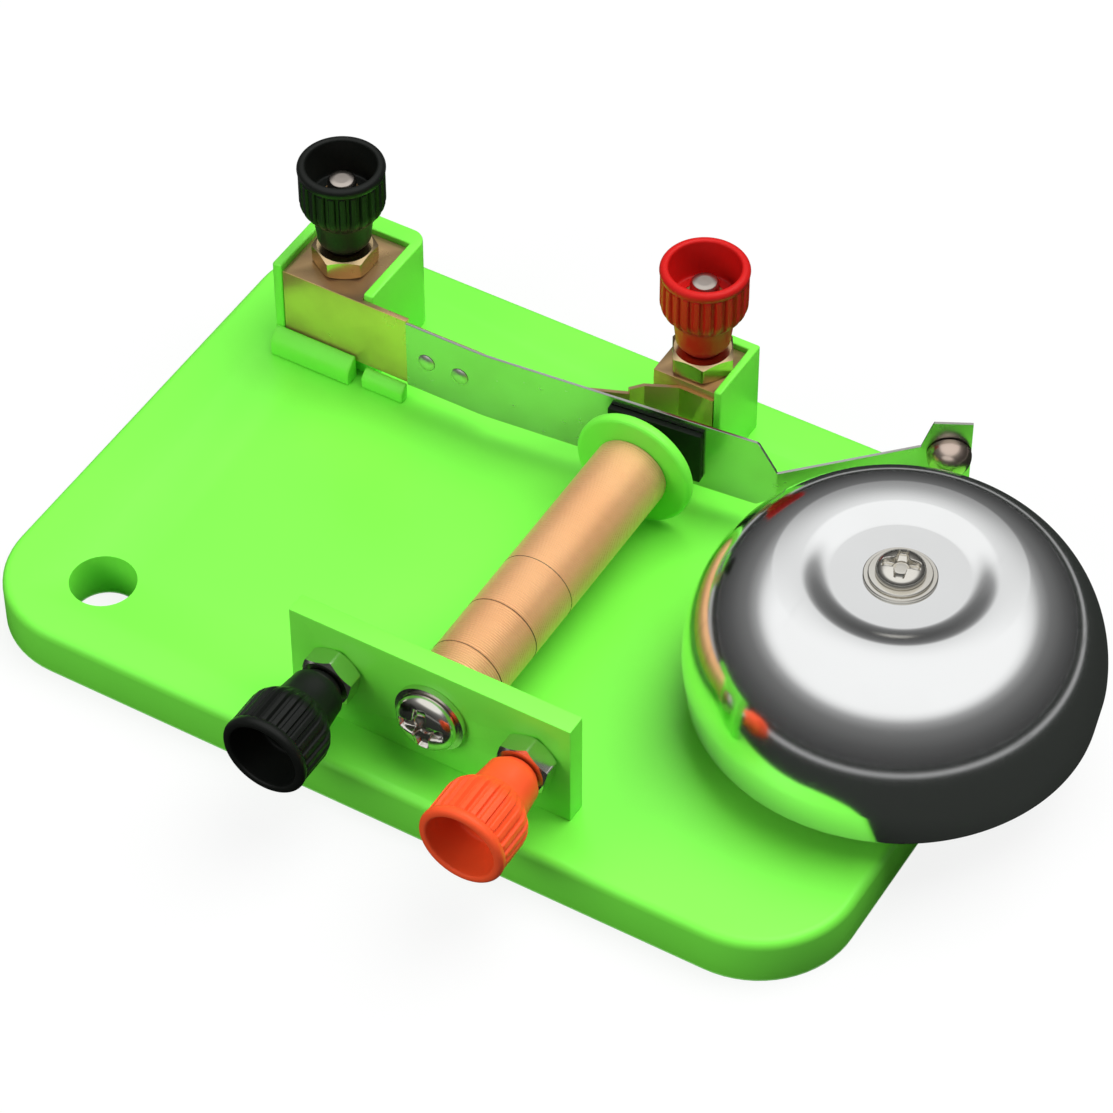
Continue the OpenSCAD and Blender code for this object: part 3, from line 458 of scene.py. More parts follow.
# Outlines of (radius, height) below the flutes and between the flutes and the rim.
NECK_OUTLINE = [
    (STUD_HOLE_R, 0.0), (FOOT_R - 0.15, 0.0), (FOOT_R, 0.12), (NECK_R - 0.1, 1.28), (NECK_R, 1.5),
    (3.78, 2.4), (3.9, 3.4),
]
SHOULDER_OUTLINE = [(5.80, 12.86), (5.93, 12.98)]

FLUTES = 24
STEPS_PER_FLUTE = 12
FLUTE_ROWS = 30
FLUTE_LOW = 4.2
FLUTE_HIGH = 12.75
# Radius of the valleys and of the ribs at each height, as (height, radius).
VALLEY = [
    (FLUTE_LOW, 3.98), (5.4, 4.22), (6.0, 4.6), (6.6, 5.0), (7.2, 5.28), (8.0, VALLEY_R),
    (12.9, VALLEY_R),
]
CREST = [
    (FLUTE_LOW, 3.98), (5.4, 4.22), (6.0, 4.75), (6.6, 5.3), (7.2, 5.66), (8.0, RIB_R),
    (12.9, RIB_R),
]
# Shares of one flute where the rib's crest ends and where the valley starts and ends.
CREST_END = 0.44
VALLEY_START = 0.60
VALLEY_END = 0.84


def flute_share(a):
    """1 on a rib's crest, 0 in the valley, at angle a."""
    u = (a / TURN * FLUTES) % 1.0
    if u < CREST_END:
        return 1.0
    if u < VALLEY_START:
        return 1 - ease((u - CREST_END) / (VALLEY_START - CREST_END))
    if u < VALLEY_END:
        return 0.0
    return ease((u - VALLEY_END) / (1 - VALLEY_END))


def add_knob(node, finish, place):
    """Fluted knob with a deep cup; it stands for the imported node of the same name."""
    fluted_from = len(NECK_OUTLINE)
    fluted_to = fluted_from + FLUTE_ROWS + 1
    cup_floor = KNOB_L - CUP_DEPTH
    profile = NECK_OUTLINE + [
        (RIB_R, between(FLUTE_LOW, FLUTE_HIGH, i / FLUTE_ROWS)) for i in range(FLUTE_ROWS + 1)
    ] + SHOULDER_OUTLINE
    profile += arc(MOUTH_R - RIM_ROUND, KNOB_L - RIM_ROUND, RIM_ROUND, RIM_ROUND, 0, 90, 8)
    profile += arc(CUP_R + LIP_ROUND, KNOB_L - LIP_ROUND, LIP_ROUND, LIP_ROUND, 90, 180, 5)
    profile += [(CUP_R - 0.03, KNOB_L - 0.75), (CUP_FLOOR_R + 0.04, cup_floor + 0.5)]
    profile += arc(CUP_FLOOR_R - CUP_FLOOR_ROUND, cup_floor + CUP_FLOOR_ROUND, CUP_FLOOR_ROUND,
                   CUP_FLOOR_ROUND, 0, -90, 3)
    profile += [(BORE_R, cup_floor), (BORE_R, FOOT_WALL), (STUD_HOLE_R, FOOT_WALL)]

    def fluted(i, r, z, a):
        if not fluted_from <= i < fluted_to:
            return r
        return between(along(VALLEY, z), along(CREST, z), flute_share(a))

    knob = lathe(node + "_fine", profile, finish, place, FLUTES * STEPS_PER_FLUTE, fluted, KNOB_SHARP)
    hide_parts(node)
    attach(knob, node.replace("_knob", "_cap"))


def add_knobs():
    for side, finish in (("left", "black_plastic"), ("right", "orange_red_plastic")):
        foot = box_mm(f"front_{side}_knob")[1].y
        axis = middle_mm(f"front_{side}_insert")
        add_knob(f"front_{side}_knob", finish, facing_front(axis.x, foot, axis.z))
    for side, finish in (("left", "black_plastic"), ("right", "red_plastic")):
        foot = box_mm(f"rear_{side}_knob")[0].z
        axis = middle_mm(f"rear_{side}_insert")
        add_knob(f"rear_{side}_knob", finish, upright(axis.x, axis.y, foot))


# ---------------------------------------------------------------- nuts

STUD_R = 2.0

NUT_H = 2.97
FRONT_NUT_FLATS = 7.0
REAR_NUT_FLATS = 8.0
NUT_STEPS = 144
NUT_SHARP = 20
# The round face of a nut, as a share of half its flats; its corners fall away outside it.
NUT_FACE = 0.96
NUT_FALL = 0.55
# How far a corner reaches from the flats' circle towards the full hexagon.
NUT_CORNER = 0.9
NUT_BORE_GAP = 0.05
NUT_BORE_BREAK = 0.25

# Turn of each nut on its stud, in degrees.
FRONT_NUT_TURN = 18
REAR_NUT_TURN = {"left": 30, "right": 0}


def add_nut(node, finish, flats, place, turn):
    """Hex nut with both faces turned down at the corners."""
    half = flats / 2
    face_r = half * NUT_FACE
    corner_r = between(half, flats / math.sqrt(3), NUT_CORNER)
    bore_r = STUD_R + NUT_BORE_GAP
    mouth_r = bore_r + NUT_BORE_BREAK
    points = []
    for k in range(NUT_STEPS):
        a = TURN * k / NUT_STEPS
        out = min(half / math.cos(a % (TURN / 6) - TURN / 12), corner_r)
        drop = (out - face_r) * NUT_FALL
        column = [(mouth_r, 0), (face_r, 0), (out, drop), (out, NUT_H - drop), (face_r, NUT_H),
                  (mouth_r, NUT_H), (bore_r, NUT_H - NUT_BORE_BREAK), (bore_r, NUT_BORE_BREAK)]
        points += [polar(r, a, z) for r, z in column]
    faces = ring_faces(NUT_STEPS, len(column), flip=True)
    spin = place @ Matrix.Rotation(math.radians(turn), 4, "Z")
    nut = add_piece(node + "_fine", points, faces, finish, spin, NUT_SHARP)
    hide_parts(node)
    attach(nut, "base")


def add_nuts():
    for side in ("left", "right"):
        foot = box_mm(f"front_{side}_nut")[1].y
        axis = middle_mm(f"front_{side}_insert")
        add_nut(f"front_{side}_nut", "nickel_plate", FRONT_NUT_FLATS, facing_front(axis.x, foot, axis.z),
                FRONT_NUT_TURN)
        foot = box_mm(f"rear_{side}_nut")[0].z
        axis = middle_mm(f"rear_{side}_insert")
        add_nut(f"rear_{side}_nut", "nut_brass", REAR_NUT_FLATS, upright(axis.x, axis.y, foot),
                REAR_NUT_TURN[side])


# ---------------------------------------------------------------- studs

STUD_HEAD_R = 3.5
STUD_HEAD_H = 2.2
STUD_HEAD_BREAK = 0.2
STUD_STEPS = 40
STUD_SHARP = 70
THREADED_L = 6.5
THREAD_PITCH = 0.7
THREAD_DEPTH = 0.26
THREAD_ROUND = 0.8
# Lathe rings to one turn of thread.
THREAD_ROWS = 8
TIP_CHAMFER = 0.4
TIP_FLAT_R = 0.9
TIP_CROWN = 0.02


def add_stud(node, place, length):
    """Stud from its head below z = 0 to its threaded tip; the ridge fades out at the tip's chamfer."""
    rows = int(THREADED_L / THREAD_PITCH * THREAD_ROWS)
    head = [(POLE_R, -STUD_HEAD_H), (STUD_HEAD_R - STUD_HEAD_BREAK, -STUD_HEAD_H),
            (STUD_HEAD_R, STUD_HEAD_BREAK - STUD_HEAD_H), (STUD_HEAD_R, 0), (STUD_R, 0)]
    ridges = [(STUD_R, between(length - THREADED_L, length, i / rows)) for i in range(rows + 1)]
    profile = head + ridges + [(TIP_FLAT_R, length + TIP_CROWN / 2), (POLE_R, length + TIP_CROWN)]

    def ridge(i, r, z, a):
        if not len(head) <= i < len(head) + len(ridges):
            return r
        u = (z / THREAD_PITCH - a / TURN) % 1.0
        cut = THREAD_DEPTH * (1 - abs(2 * u - 1)) ** THREAD_ROUND
        return min(r - cut, STUD_R - TIP_CHAMFER + (length - z))

    stud = lathe(node + "_fine", profile, "stud_plate", place, STUD_STEPS, ridge, STUD_SHARP)
    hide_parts(node)
    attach(stud, "base")


def add_studs():
    for side in ("left", "right"):
        low, high = box_mm(f"front_{side}_stud")
        axis = middle_mm(f"front_{side}_insert")
        seat = high.y - STUD_HEAD_H
        add_stud(f"front_{side}_stud", facing_front(axis.x, seat, axis.z), seat - low.y - TIP_CROWN)
        low, high = box_mm(f"rear_{side}_stud")
        axis = middle_mm(f"rear_{side}_insert")
        seat = low.z + STUD_HEAD_H
        add_stud(f"rear_{side}_stud", upright(axis.x, axis.y, seat), high.z - seat - TIP_CROWN)


# ---------------------------------------------------------------- screws

SCREW_SHANK_R = 2.0
SCREW_STEPS = 160
SCREW_RINGS = 46
SCREW_SHARP = 38
SCREW_FOOT_BREAK = 0.12
# Share of the head's height that its crown takes, and how flat the crown is.
CROWN_SHARE = 0.74
CROWN_POWER = 3.4

# Cross recess, as shares of the head's diameter; its depths are shares of the head's height.
RECESS_REACH = 0.36
RECESS_HALF_W = (0.13, 0.085)
RECESS_WALL = 0.022
RECESS_HUB_R = 0.16
RECESS_DEPTH = 0.62
RECESS_RISE = 0.45

CORE_SCREW_D = 8.6
CORE_SCREW_H = 2.2
CORE_SCREW_TURN = 4
CORE_SCREW_SINK = 0.05


def recess_depth(x, y, d, h, turn):
    """Depth of the cross recess at a point of the head, turned by an angle in radians."""
    c, s = math.cos(turn), math.sin(turn)
    p, q = abs(c * x + s * y), abs(c * y - s * x)
    run, off = max(p, q), min(p, q)
    reach = d * RECESS_REACH
    wall = d * RECESS_WALL
    half_w = d * between(*RECESS_HALF_W, min(1, run / reach))
    inside = 1 - ease((off - half_w + wall) / (2 * wall))
    tip = 1 - ease((run - reach + wall) / (2 * wall))
    blade = h * RECESS_DEPTH * (1 - RECESS_RISE * ease(run / reach)) * inside * tip
    hub = h * RECESS_DEPTH * (1 - ease((math.hypot(p, q) - d * RECESS_HUB_R) / (2 * wall)))
    return max(blade, hub)


def add_screw(node, finish, place, d, h, shank_l, turn):
    """Pan-head screw with a cross recess. The head seats at z = 0."""
    spin = math.radians(turn)
    angles = [TURN * k / SCREW_STEPS for k in range(SCREW_STEPS)]

    def top(r, a):
        crown = 1 - max(0.0, 1 - (2 * r / d) ** CROWN_POWER) ** 0.5
        return h - h * CROWN_SHARE * crown - recess_depth(r * math.cos(a), r * math.sin(a), d, h, spin)

    points = [polar(0, 0, top(0, 0))]
    for i in range(1, SCREW_RINGS + 1):
        r = d / 2 * i / SCREW_RINGS
        points += [polar(r, a, top(r, a)) for a in angles]
    for r, z in ((d / 2, SCREW_FOOT_BREAK), (d / 2 - SCREW_FOOT_BREAK, 0), (SCREW_SHANK_R, 0),
                 (SCREW_SHANK_R, -shank_l)):
        points += [polar(r, a, z) for a in angles]
    rows = (len(points) - 1) // SCREW_STEPS
    last = len(points) - SCREW_STEPS
    faces = [(0, 1 + k, 1 + (k + 1) % SCREW_STEPS) for k in range(SCREW_STEPS)]
    faces += ring_faces(rows, SCREW_STEPS, closed_rings=False, first=1, flip=True)
    faces.append(tuple(last + SCREW_STEPS - 1 - k for k in range(SCREW_STEPS)))
    screw = add_piece(node + "_fine", points, faces, finish, place, SCREW_SHARP)
    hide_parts(node)
    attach(screw, "base")


def add_core_screw():
    seat = box_mm("core_washer")[0].y
    axis = middle_mm("core_washer")
    add_screw("core_screw", "nickel_plate", facing_front(axis.x, seat - CORE_SCREW_SINK, axis.z),
              CORE_SCREW_D, CORE_SCREW_H, box_mm("core_screw")[1].y - seat, CORE_SCREW_TURN)


# ---------------------------------------------------------------- winding

WINDING_R = 5.3
WIRE_D = 0.36
# Half the height of a turn's rounded back over the sleeve.
WIRE_FLAT = 0.07
WIRE_SIDES = 8
TURN_STEPS = 40
# Pitch of the wire as a share of its thickness.
TURN_ROOM = 1.004
# Uneven lay of the turns: (size, waves per turn, phase).
LAY = ((0.018, 0.9, 0), (0.012, 2.3, 1))
LAY_RISE = 0.3
LAY_ROOM = 0.01
# The sleeve lies under the outer layer by this share of WIRE_FLAT.
SLEEVE_SINK = 1.6
SLEEVE_BORE_ROOM = 0.4

# Thin seams across the winding, by their distance from its front end; each is a dark ring of painted
# shade between the turns.
SEAM_PLACES = (4.4, 12.7, 21.5)
SEAM_ROOT = 0.1
SEAM_TOP = 0.005
SEAM_ROOT_W = 0.07
SEAM_TOP_W = 0.05


def add_wire(place, length):
    """One fine wire wound close from end to end."""
    turns = int((length - WIRE_D) / (WIRE_D * TURN_ROOM))
    pitch = (length - WIRE_D) / turns
    path_r = WINDING_R - WIRE_FLAT - LAY_ROOM
    steps = turns * TURN_STEPS
    points = []
    for i in range(steps + 1):
        turn = i / TURN_STEPS
        slack = sum(size * math.sin(turn * waves + phase) for size, waves, phase in LAY)
        for k in range(WIRE_SIDES):
            b = TURN * k / WIRE_SIDES
            r = path_r + slack * LAY_RISE + WIRE_FLAT * math.cos(b)
            points.append(polar(r, TURN * turn, WIRE_D / 2 + pitch * turn + WIRE_D / 2 * math.sin(b)))
    faces = ring_faces(steps + 1, WIRE_SIDES, closed_rings=False, flip=True)
    wire_piece = add_piece("fine_winding", points, faces, "enamelled_copper", place, 180)
    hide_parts("coil_outer_layer")
    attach(wire_piece, "base")


def add_winding():
    """Outer layer of the coil, over a sleeve of the layers below, with thin rings of painted shade at
    the seams across it.
    """
    low, high = box_mm("coil_winding")
    axis = middle_mm("coil_winding")
    length = high.y - low.y
    place = facing_rear(axis.x, low.y, axis.z)
    add_wire(place, length)
    sleeve_r = WINDING_R - WIRE_FLAT * SLEEVE_SINK
    inner_r = (high.x - low.x) / 2 - SLEEVE_BORE_ROOM
    sleeve = [(inner_r, 0), (sleeve_r, 0), (sleeve_r, length), (inner_r, length)]
    under = lathe("winding_under_layers", sleeve, "enamelled_copper", place)
    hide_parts("coil_winding")
    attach(under, "base")
    root, top = WINDING_R - SEAM_ROOT, WINDING_R - SEAM_TOP
    # Each seam is a dark ring just under the wire's top: painted shade between the turns.
    for i, at in enumerate(SEAM_PLACES):
        edge = [(root, at + SEAM_ROOT_W), (top, at + SEAM_TOP_W), (top, at - SEAM_TOP_W),
                (root, at - SEAM_ROOT_W), (root, at)]
        painted_seam_shade = lathe(f"winding_seam_{i}", edge, "painted_seam_shade", place)
        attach(painted_seam_shade, "base")


# ---------------------------------------------------------------- gong

GONG_RIM_R = 26.3
GONG_R = 26.9
GONG_H = 21.4
GONG_T = 1.0
SKIRT_H = 5.3
SHOULDER_W = 12.4
SHOULDER_END = 84
SHOULDER_STEPS = 56
BROW_FALL = 0.12
DISH_R = 12.6
DISH_FLOOR_R = 8.4
DISH_DEPTH = 2.2
DISH_STEPS = 28
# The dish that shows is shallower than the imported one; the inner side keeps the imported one.
DISH_SHOWN_DEPTH = 0.88
DISH_SHOWN_R = 8.8
GONG_HOLE_R = 2.2
GONG_STEPS = 256
GONG_SHARP = 50

WASHER_BORE_R = 2.1
WASHER_BREAK = 0.12
GONG_WASHER_R = 4.7
GONG_WASHER_T = 0.4
GONG_RING_R = 4.1
GONG_RING_T = 0.35
GONG_SCREW_D = 6.4
GONG_SCREW_H = 1.7
GONG_SCREW_TURN = 20


def gong_top(t, floor_r, depth):
    """Shoulder and dish of the gong, from the skirt's top to the hole's edge, inset by t."""
    brow = GONG_H - BROW_FALL - t
    rise = GONG_H - SKIRT_H - t
    outline = arc(GONG_R - SHOULDER_W, SKIRT_H, SHOULDER_W - t, rise, 0, SHOULDER_END, SHOULDER_STEPS)
    for i in range(DISH_STEPS + 1):
        q = i / DISH_STEPS
        fall = (depth - BROW_FALL) * (0.5 - 0.5 * math.cos(math.pi * q))
        outline.append((between(DISH_R, floor_r, q), brow - fall))
    return outline + [(GONG_HOLE_R, GONG_H - depth - t)]


def add_gong():
    """Gong with the shallow dish of the photograph, and the washers and screw that lie in it."""
    axis = middle_mm("gong_washer")
    rim_z = box_mm("gong")[0].z
    half = GONG_T / 2
    rim = arc(GONG_RIM_R - half, half, half, half, 180, 360, 8)
    outer = gong_top(0.0, DISH_SHOWN_R, DISH_SHOWN_DEPTH)
    inner = gong_top(GONG_T, DISH_FLOOR_R, DISH_DEPTH)
    profile = rim + outer + inner[::-1]
    place = upright(axis.x, axis.y, rim_z)
    gong = lathe("gong_fine", profile, "gong_metal", place, GONG_STEPS, None, GONG_SHARP)
    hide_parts("gong")
    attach(gong, "base")
    seat = rim_z + GONG_H - DISH_SHOWN_DEPTH
    for node, r, t in (("gong_washer", GONG_WASHER_R, GONG_WASHER_T),
                       ("gong_spring_washer", GONG_RING_R, GONG_RING_T)):
        edge = min(WASHER_BREAK, t / 3)
        ring = [(WASHER_BORE_R, 0), (r - edge, 0), (r, edge), (r, t - edge), (r - edge, t),
                (WASHER_BORE_R, t)]
        washer = lathe(node + "_fine", ring, "nickel_plate", upright(axis.x, axis.y, seat))
        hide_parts(node)
        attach(washer, "base")
        seat += t
    add_screw("gong_screw", "nickel_plate", upright(axis.x, axis.y, seat), GONG_SCREW_D, GONG_SCREW_H,
              seat - box_mm("gong_screw")[0].z, GONG_SCREW_TURN)


# ---------------------------------------------------------------- spring strip

STRIP_W = 11.3
STRIP_T = 0.4
STRIP_RUN = 42.9
STRIP_TURN = 5.8
ARM_L = 19.6
ARM_W = 4.6
ARM_TURN = 45.4
ARM_TOP = STRIP_W - 4.4
TAB_L = 6.8
TAB_TURN = 28.0
CORNER_RUN = 2.8
TAB_RISE = 1.3
STRIP_EDGE = 0.07
STRIP_SHARP = 28
# Bends at the flex line, at the arm and at the tab.
BEND_ROUNDS = (30.0, 1.0, 0.9)
BEND_STEPS = 8
PATH_STEP = 0.3
# The flex line, where the strip's first bend starts, lies this far past the root's end.
FLEX_GAP = 0.12
# Where the widths change, next to the bends.
ARM_SHIFT = -0.08
TAB_SHIFT = 0.2
FAR = 99


def heading(degrees):
    a = math.radians(degrees)
    return Vector((math.cos(a), math.sin(a)))


def strip_path(start, flex_x):
    """Front line of the strip in plan with rounded bends: list of (point, direction)."""
    turns = [0.0, STRIP_TURN, ARM_TURN, TAB_TURN]
    runs = [flex_x - start.x, STRIP_RUN, ARM_L, TAB_L]
    path = []
    corner = start
    trim_before = 0.0
    for i, (turn, run) in enumerate(zip(turns, runs)):
        bent = i < len(BEND_ROUNDS)
        trim_after = 0.0
        if bent:
            bend = math.radians(turns[i + 1] - turn)
            trim_after = BEND_ROUNDS[i] * math.tan(abs(bend) / 2)
        ahead = heading(turn)
        count = max(2, int((run - trim_before - trim_after) / PATH_STEP))
        for k in range(count + 1):
            reach = between(trim_before, run - trim_after, k / count)
            path.append((corner + ahead * reach, turn))
        if bent:
            side = math.copysign(BEND_ROUNDS[i], bend)
            centre = path[-1][0] + heading(turn + 90) * side
            for k in range(1, BEND_STEPS):
                part = between(turn, turns[i + 1], k / BEND_STEPS)
                path.append((centre - heading(part + 90) * side, part))
        corner = corner + ahead * run
        trim_before = trim_after
    return path


def add_strip():
    """Spring strip, arm and tab in one piece, with rounded bends at the flex line, the arm and the tab.
    """
    low, high = box_mm("spring_root")
    flex_x = high.x + FLEX_GAP
    path = strip_path(Vector((low.x, low.y)), flex_x)
    arm_x = flex_x + STRIP_RUN * heading(STRIP_TURN).x + ARM_SHIFT
    tab_x = arm_x + ARM_L * heading(ARM_TURN).x + TAB_SHIFT
    width_stops = (-FAR, arm_x - CORNER_RUN, arm_x, tab_x, tab_x + TAB_RISE, FAR)
    tops = list(zip(width_stops, (STRIP_W, STRIP_W, ARM_TOP, ARM_TOP, STRIP_W, STRIP_W)))
    arm_low = ARM_TOP - ARM_W
    bottoms = list(zip(width_stops, (0, 0, arm_low, arm_low, 0, 0)))
    edge = ((0, STRIP_EDGE), (STRIP_EDGE, 0), (STRIP_T - STRIP_EDGE, 0), (STRIP_T, STRIP_EDGE))
    points = []
    for place, turn in path:
        back = heading(turn + 90)
        top, bottom = along(tops, place.x), along(bottoms, place.x)
        section = [(depth, bottom + inset) for depth, inset in edge]
        section += [(depth, top - inset) for depth, inset in edge[::-1]]
        for depth, rise in section:
            spot = place + back * depth
            points.append((spot.x * MM, spot.y * MM, (low.z + rise) * MM))
    around = 2 * len(edge)
    faces = ring_faces(len(path), around, closed_rings=False)
    faces.append(tuple(range(around - 1, -1, -1)))
    faces.append(tuple(range(len(points) - around, len(points))))
    strip = add_piece("spring_strip_fine", points, faces, "spring_steel", None, STRIP_SHARP)
    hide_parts("spring_root", "armature_strip")
    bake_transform(strip)


# ---------------------------------------------------------------- rivets and hammer

RIVET_CAP_H = 0.5
RIVET_STEPS = 48
# Domed cap below zero, shank behind it.
RIVET_OUTLINE = [
    (POLE_R, -RIVET_CAP_H), (0.45, -0.47), (0.85, -0.37), (1.12, -0.2), (1.27, -0.06), (1.3, 0.0),
    (0.8, 0.0), (0.8, 1.2), (POLE_R, 1.2),
]

DOME_R = 3.0
DOME_SHANK_R = 1.0
DOME_NUB = STRIP_T + 0.7
DOME_NUB_H = 0.5
DOME_NUB_R = (1.5, 1.25)


def add_rivets():
    low, high = box_mm("root_rivets")
    radius = (high.z - low.z) / 2
    for name, x in (("left_rivet", low.x + radius), ("right_rivet", high.x - radius)):
        place = facing_rear(x, low.y + RIVET_CAP_H, low.z + radius)
        rivet = lathe(name, RIVET_OUTLINE, "rivet_plate", place, RIVET_STEPS)
        if name == "left_rivet":
            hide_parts("root_rivets")
        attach(rivet, "base")


def add_dome():
    """Hammer dome on the tab's front, with its peened nub behind the tab."""
    low, high = box_mm("hammer_dome")
    middle_z = (low.z + high.z) / 2
    # The box's right side is the rim of the leaning dome, and its front is the dome's foremost point.
    centre_x = high.x - DOME_R * heading(TAB_TURN).x
    centre_y = low.y + DOME_R
    nub_foot = DOME_NUB - DOME_NUB_H
    profile = [(POLE_R, -DOME_R)] + arc(0, 0, DOME_R, DOME_R, -86, 0, 22)
    profile += [(DOME_SHANK_R, 0.0), (DOME_SHANK_R, nub_foot), (DOME_NUB_R[0], nub_foot),
                (DOME_NUB_R[1], DOME_NUB), (POLE_R, DOME_NUB)]
    place = (upright(centre_x, centre_y, middle_z)
             @ Matrix.Rotation(math.radians(TAB_TURN), 4, "Z")
             @ Matrix.Rotation(math.radians(-90), 4, "X"))
    dome = lathe("hammer_dome_fine", profile, "hammer_metal", place)
    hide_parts("hammer_dome")
    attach(dome, "armature")


# ---------------------------------------------------------------- CAD nodes that stay

CAD_SHARP = 30
WELD_DISTANCE = 1e-6
FLAT_ANGLE = 0.6
ROUND_ANGLE = 40
ROUND_STEPS = 3
EDGE_ROUND = {
    "base_moulding": 0.35,
    "terminal_panel": 0.35,
    "left_boss": 0.3,
    "right_boss": 0.3,
    "left_ledge": 0.25,
    "right_ledge": 0.25,
    "left_bracket": 0.12,
    "right_bracket": 0.12,
    "armature_iron": 0.12,
    "left_lug": 0.05,
    "right_lug": 0.05,
}


def soften(node, width):
    """Breaks the sharp edges of a CAD node with a small round."""
    obj = frame["nodes"][node]
    weld = obj.modifiers.new("weld", "WELD")
    weld.merge_threshold = WELD_DISTANCE
    flat = obj.modifiers.new("merge_flat_faces", "DECIMATE")
    flat.decimate_type = "DISSOLVE"
    flat.angle_limit = math.radians(FLAT_ANGLE)
    bevel = obj.modifiers.new("edge_round", "BEVEL")
    bevel.width = width * MM
    bevel.segments = ROUND_STEPS
    bevel.limit_method = "ANGLE"
    bevel.angle_limit = math.radians(ROUND_ANGLE)


def finish_cad_nodes():
    for node, obj in frame["nodes"].items():
        mesh = obj.data
        mesh.materials.clear()
        mesh.materials.append(FINISH[SLOT_OF[node]])
        mesh.shade_smooth()
        mesh.set_sharp_from_angle(angle=math.radians(CAD_SHARP))
    for node, width in EDGE_ROUND.items():
        soften(node, width)


# ---------------------------------------------------------------- studio

# Sizes of the studio are in metres.
FLOOR_SIZE = 6.0
FLOOR_ROUGHNESS = 0.9
FLOOR_LIT = (0.14, 0.14, 0.14, 1)
FLOOR_SEEN = (0.72, 0.73, 0.72, 1)
FLOOR_WHITE_SHARE = 0.86
CARD_SIZE = 5.0
CARD_Z = 0.0003
CARD_COLOUR = (0.02, 0.022, 0.02, 1)
BAND_INNER_R = 0.15
BAND_OUTER_R = 0.23
BAND_Z = 0.0006
BAND_GLOW = 0.42
BAND_STEPS = 96

# Each softbox's size, place and power in watts; both look at the middle of the base.
SOFTBOXES = {
    "top_softbox": ((0.8, 0.8), (0.22, 0.30, 0.9), 13),
    "front_softbox": ((0.6, 0.5), (-0.45, -0.85, 0.5), 5.6),
}

ROOM_LIGHT = 0.30
# Greys that mirrors see from straight down (0) to straight up (1), as (height, level).
MIRRORED_FLOOR = (0.04, 0.045, 0.045, 1)
MIRRORED_SKY = ((0.50, 0.05), (0.62, 0.09), (0.76, 0.17), (0.82, 0.34), (0.86, 0.82), (0.89, 1.0))
WHITE = (1, 1, 1, 1)


def place_light(tree, kind, strength):
    """White Emission or Background shader."""
    node = tree.nodes.new(kind)
    node.inputs["Color"].default_value = WHITE
    node.inputs["Strength"].default_value = strength
    return node


def mix_shaders(tree, factor, first, second):
    node = tree.nodes.new("ShaderNodeMixShader")
    feed(tree, factor, node.inputs["Fac"])
    feed(tree, first, node.inputs[1])
    feed(tree, second, node.inputs[2])
    return node.outputs["Shader"]


def surface_of(tree):
    return next(n for n in tree.nodes if n.type == "OUTPUT_MATERIAL").inputs["Surface"]


def floor_material():
    """Pale floor that reads as the white ground, and keeps a little of the shadow."""
    material, tree, shader = new_material("pale_floor")
    shader.inputs["Roughness"].default_value = FLOOR_ROUGHNESS
    rays = tree.nodes.new("ShaderNodeLightPath").outputs
    seen = place_math(tree, "MAXIMUM", rays["Is Camera Ray"], rays["Is Glossy Ray"])
    seen = place_math(tree, "MAXIMUM", seen, rays["Is Transmission Ray"])
    feed(tree, place_mix(tree, seen, FLOOR_LIT, FLOOR_SEEN), shader.inputs["Base Color"])
    white = place_light(tree, "ShaderNodeEmission", 1.0)
    share = place_math(tree, "MULTIPLY", seen, FLOOR_WHITE_SHARE)
    mixed = mix_shaders(tree, share, shader.outputs["BSDF"], white.outputs["Emission"])
    feed(tree, mixed, surface_of(tree))
    return material


def card_material():
    """Dark card that only mirrors see, so the gong's skirt goes dark as in the photograph."""
    material, tree, shader = new_material("dark_card")
    shader.inputs["Base Color"].default_value = CARD_COLOUR
    shader.inputs["Roughness"].default_value = 1.0
    shader.inputs["Specular IOR Level"].default_value = 0.0
    return material


def band_material():
    """Pale band on the dark card, which the gong's skirt mirrors as a thin light line."""
    material, tree, shader = new_material("pale_band")
    glow = place_light(tree, "ShaderNodeEmission", BAND_GLOW)
    feed(tree, glow.outputs["Emission"], surface_of(tree))
    tree.nodes.remove(shader)
    return material


def add_stage_mesh(name, points, faces, material):
    mesh = bpy.data.meshes.new(name)
    mesh.from_pydata(points, [], faces)
    mesh.materials.append(material)
    obj = bpy.data.objects.new(name, mesh)
    bpy.context.collection.objects.link(obj)
    return obj


def add_sheet(name, size, z, material):
    """Square sheet on the ground, round the middle of the base."""
    half = size / 2
    corners = [(-half, -half, z), (half, -half, z), (half, half, z), (-half, half, z)]
    return add_stage_mesh(name, corners, [(0, 1, 2, 3)], material)


def add_band():
    """Flat ring on the floor round the gong, seen only in mirrors."""
    middle = middle_mm("gong") * MM
    points = []
    for r in (BAND_INNER_R, BAND_OUTER_R):
        for k in range(BAND_STEPS):
            a = TURN * k / BAND_STEPS
            points.append((middle.x + r * math.cos(a), middle.y + r * math.sin(a), BAND_Z))
    faces = ring_faces(2, BAND_STEPS, closed_rings=False)
    return add_stage_mesh("pale_band", points, faces, band_material())


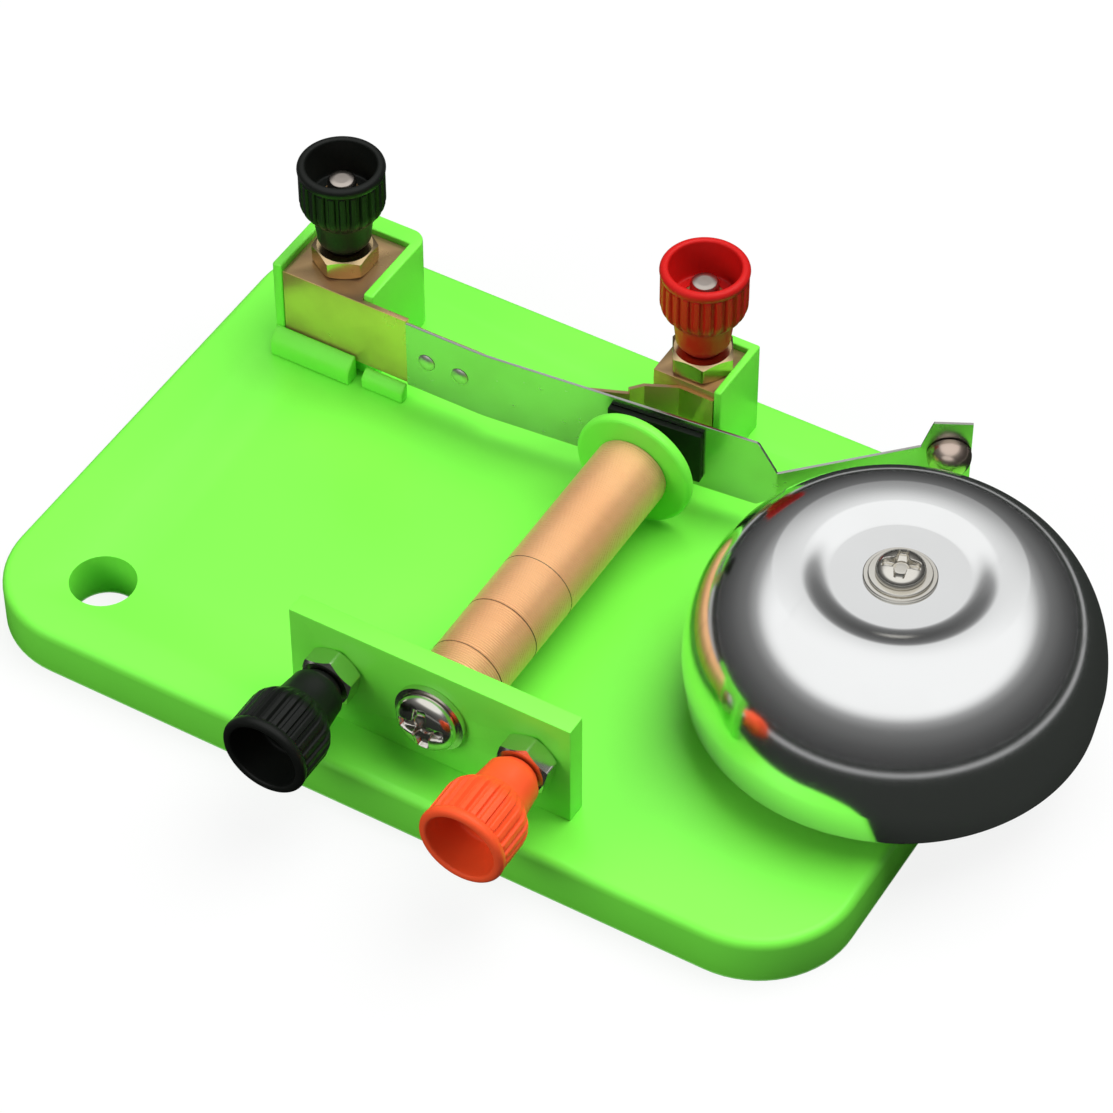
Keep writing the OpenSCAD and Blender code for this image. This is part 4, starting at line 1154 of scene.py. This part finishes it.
def add_softbox(name, size, place, power):
    data = bpy.data.lights.new(name, "AREA")
    data.shape = "RECTANGLE"
    data.size, data.size_y = size
    data.energy = power
    obj = bpy.data.objects.new(name, data)
    obj.location = place
    obj.rotation_euler = (-Vector(place)).to_track_quat("-Z", "Y").to_euler()
    obj.visible_glossy = False
    bpy.context.collection.objects.link(obj)


def add_world():
    """White ground, plain room light, and a bright ceiling over a dark horizon for mirrors."""
    world = bpy.data.worlds.new("room")
    bpy.context.scene.world = world
    world.use_nodes = True
    tree = world.node_tree
    tree.nodes.clear()
    out = tree.nodes.new("ShaderNodeOutputWorld")
    rays = tree.nodes.new("ShaderNodeLightPath").outputs
    where = tree.nodes.new("ShaderNodeTexCoord")
    split = tree.nodes.new("ShaderNodeSeparateXYZ")
    feed(tree, where.outputs["Generated"], split.inputs["Vector"])
    ramp = tree.nodes.new("ShaderNodeValToRGB")
    feed(tree, place_range(tree, split.outputs["Z"], (-1, 1), FULL), ramp.inputs["Fac"])
    stops = ramp.color_ramp.elements
    stops[0].position, stops[0].color = 0.0, MIRRORED_FLOOR
    stops[1].position, stops[1].color = 1.0, WHITE
    for position, level in MIRRORED_SKY:
        stops.new(position).color = (level, level, level, 1)
    mirrored = place_light(tree, "ShaderNodeBackground", 1.0)
    feed(tree, ramp.outputs["Color"], mirrored.inputs["Color"])
    room = place_light(tree, "ShaderNodeBackground", ROOM_LIGHT)
    white = place_light(tree, "ShaderNodeBackground", 1.0)
    unseen = mix_shaders(tree, rays["Is Glossy Ray"], room.outputs[0], mirrored.outputs[0])
    seen = place_math(tree, "MAXIMUM", rays["Is Camera Ray"], rays["Is Transmission Ray"])
    feed(tree, mix_shaders(tree, seen, unseen, white.outputs[0]), out.inputs["Surface"])


def add_studio():
    add_sheet("floor", FLOOR_SIZE, 0, floor_material())
    card = add_sheet("dark_card", CARD_SIZE, CARD_Z, card_material())
    for obj in (card, add_band()):
        obj.visible_camera = False
        obj.visible_diffuse = False
        obj.visible_shadow = False
        obj.visible_transmission = False
    for name, (size, place, power) in SOFTBOXES.items():
        add_softbox(name, size, place, power)
    add_world()


bpy.context.scene.view_settings.view_transform = "Standard"
set_camera()
finish_cad_nodes()
add_knobs()
add_nuts()
add_core_screw()
add_studs()
add_winding()
add_gong()
add_strip()
add_rivets()
add_dome()
add_studio()
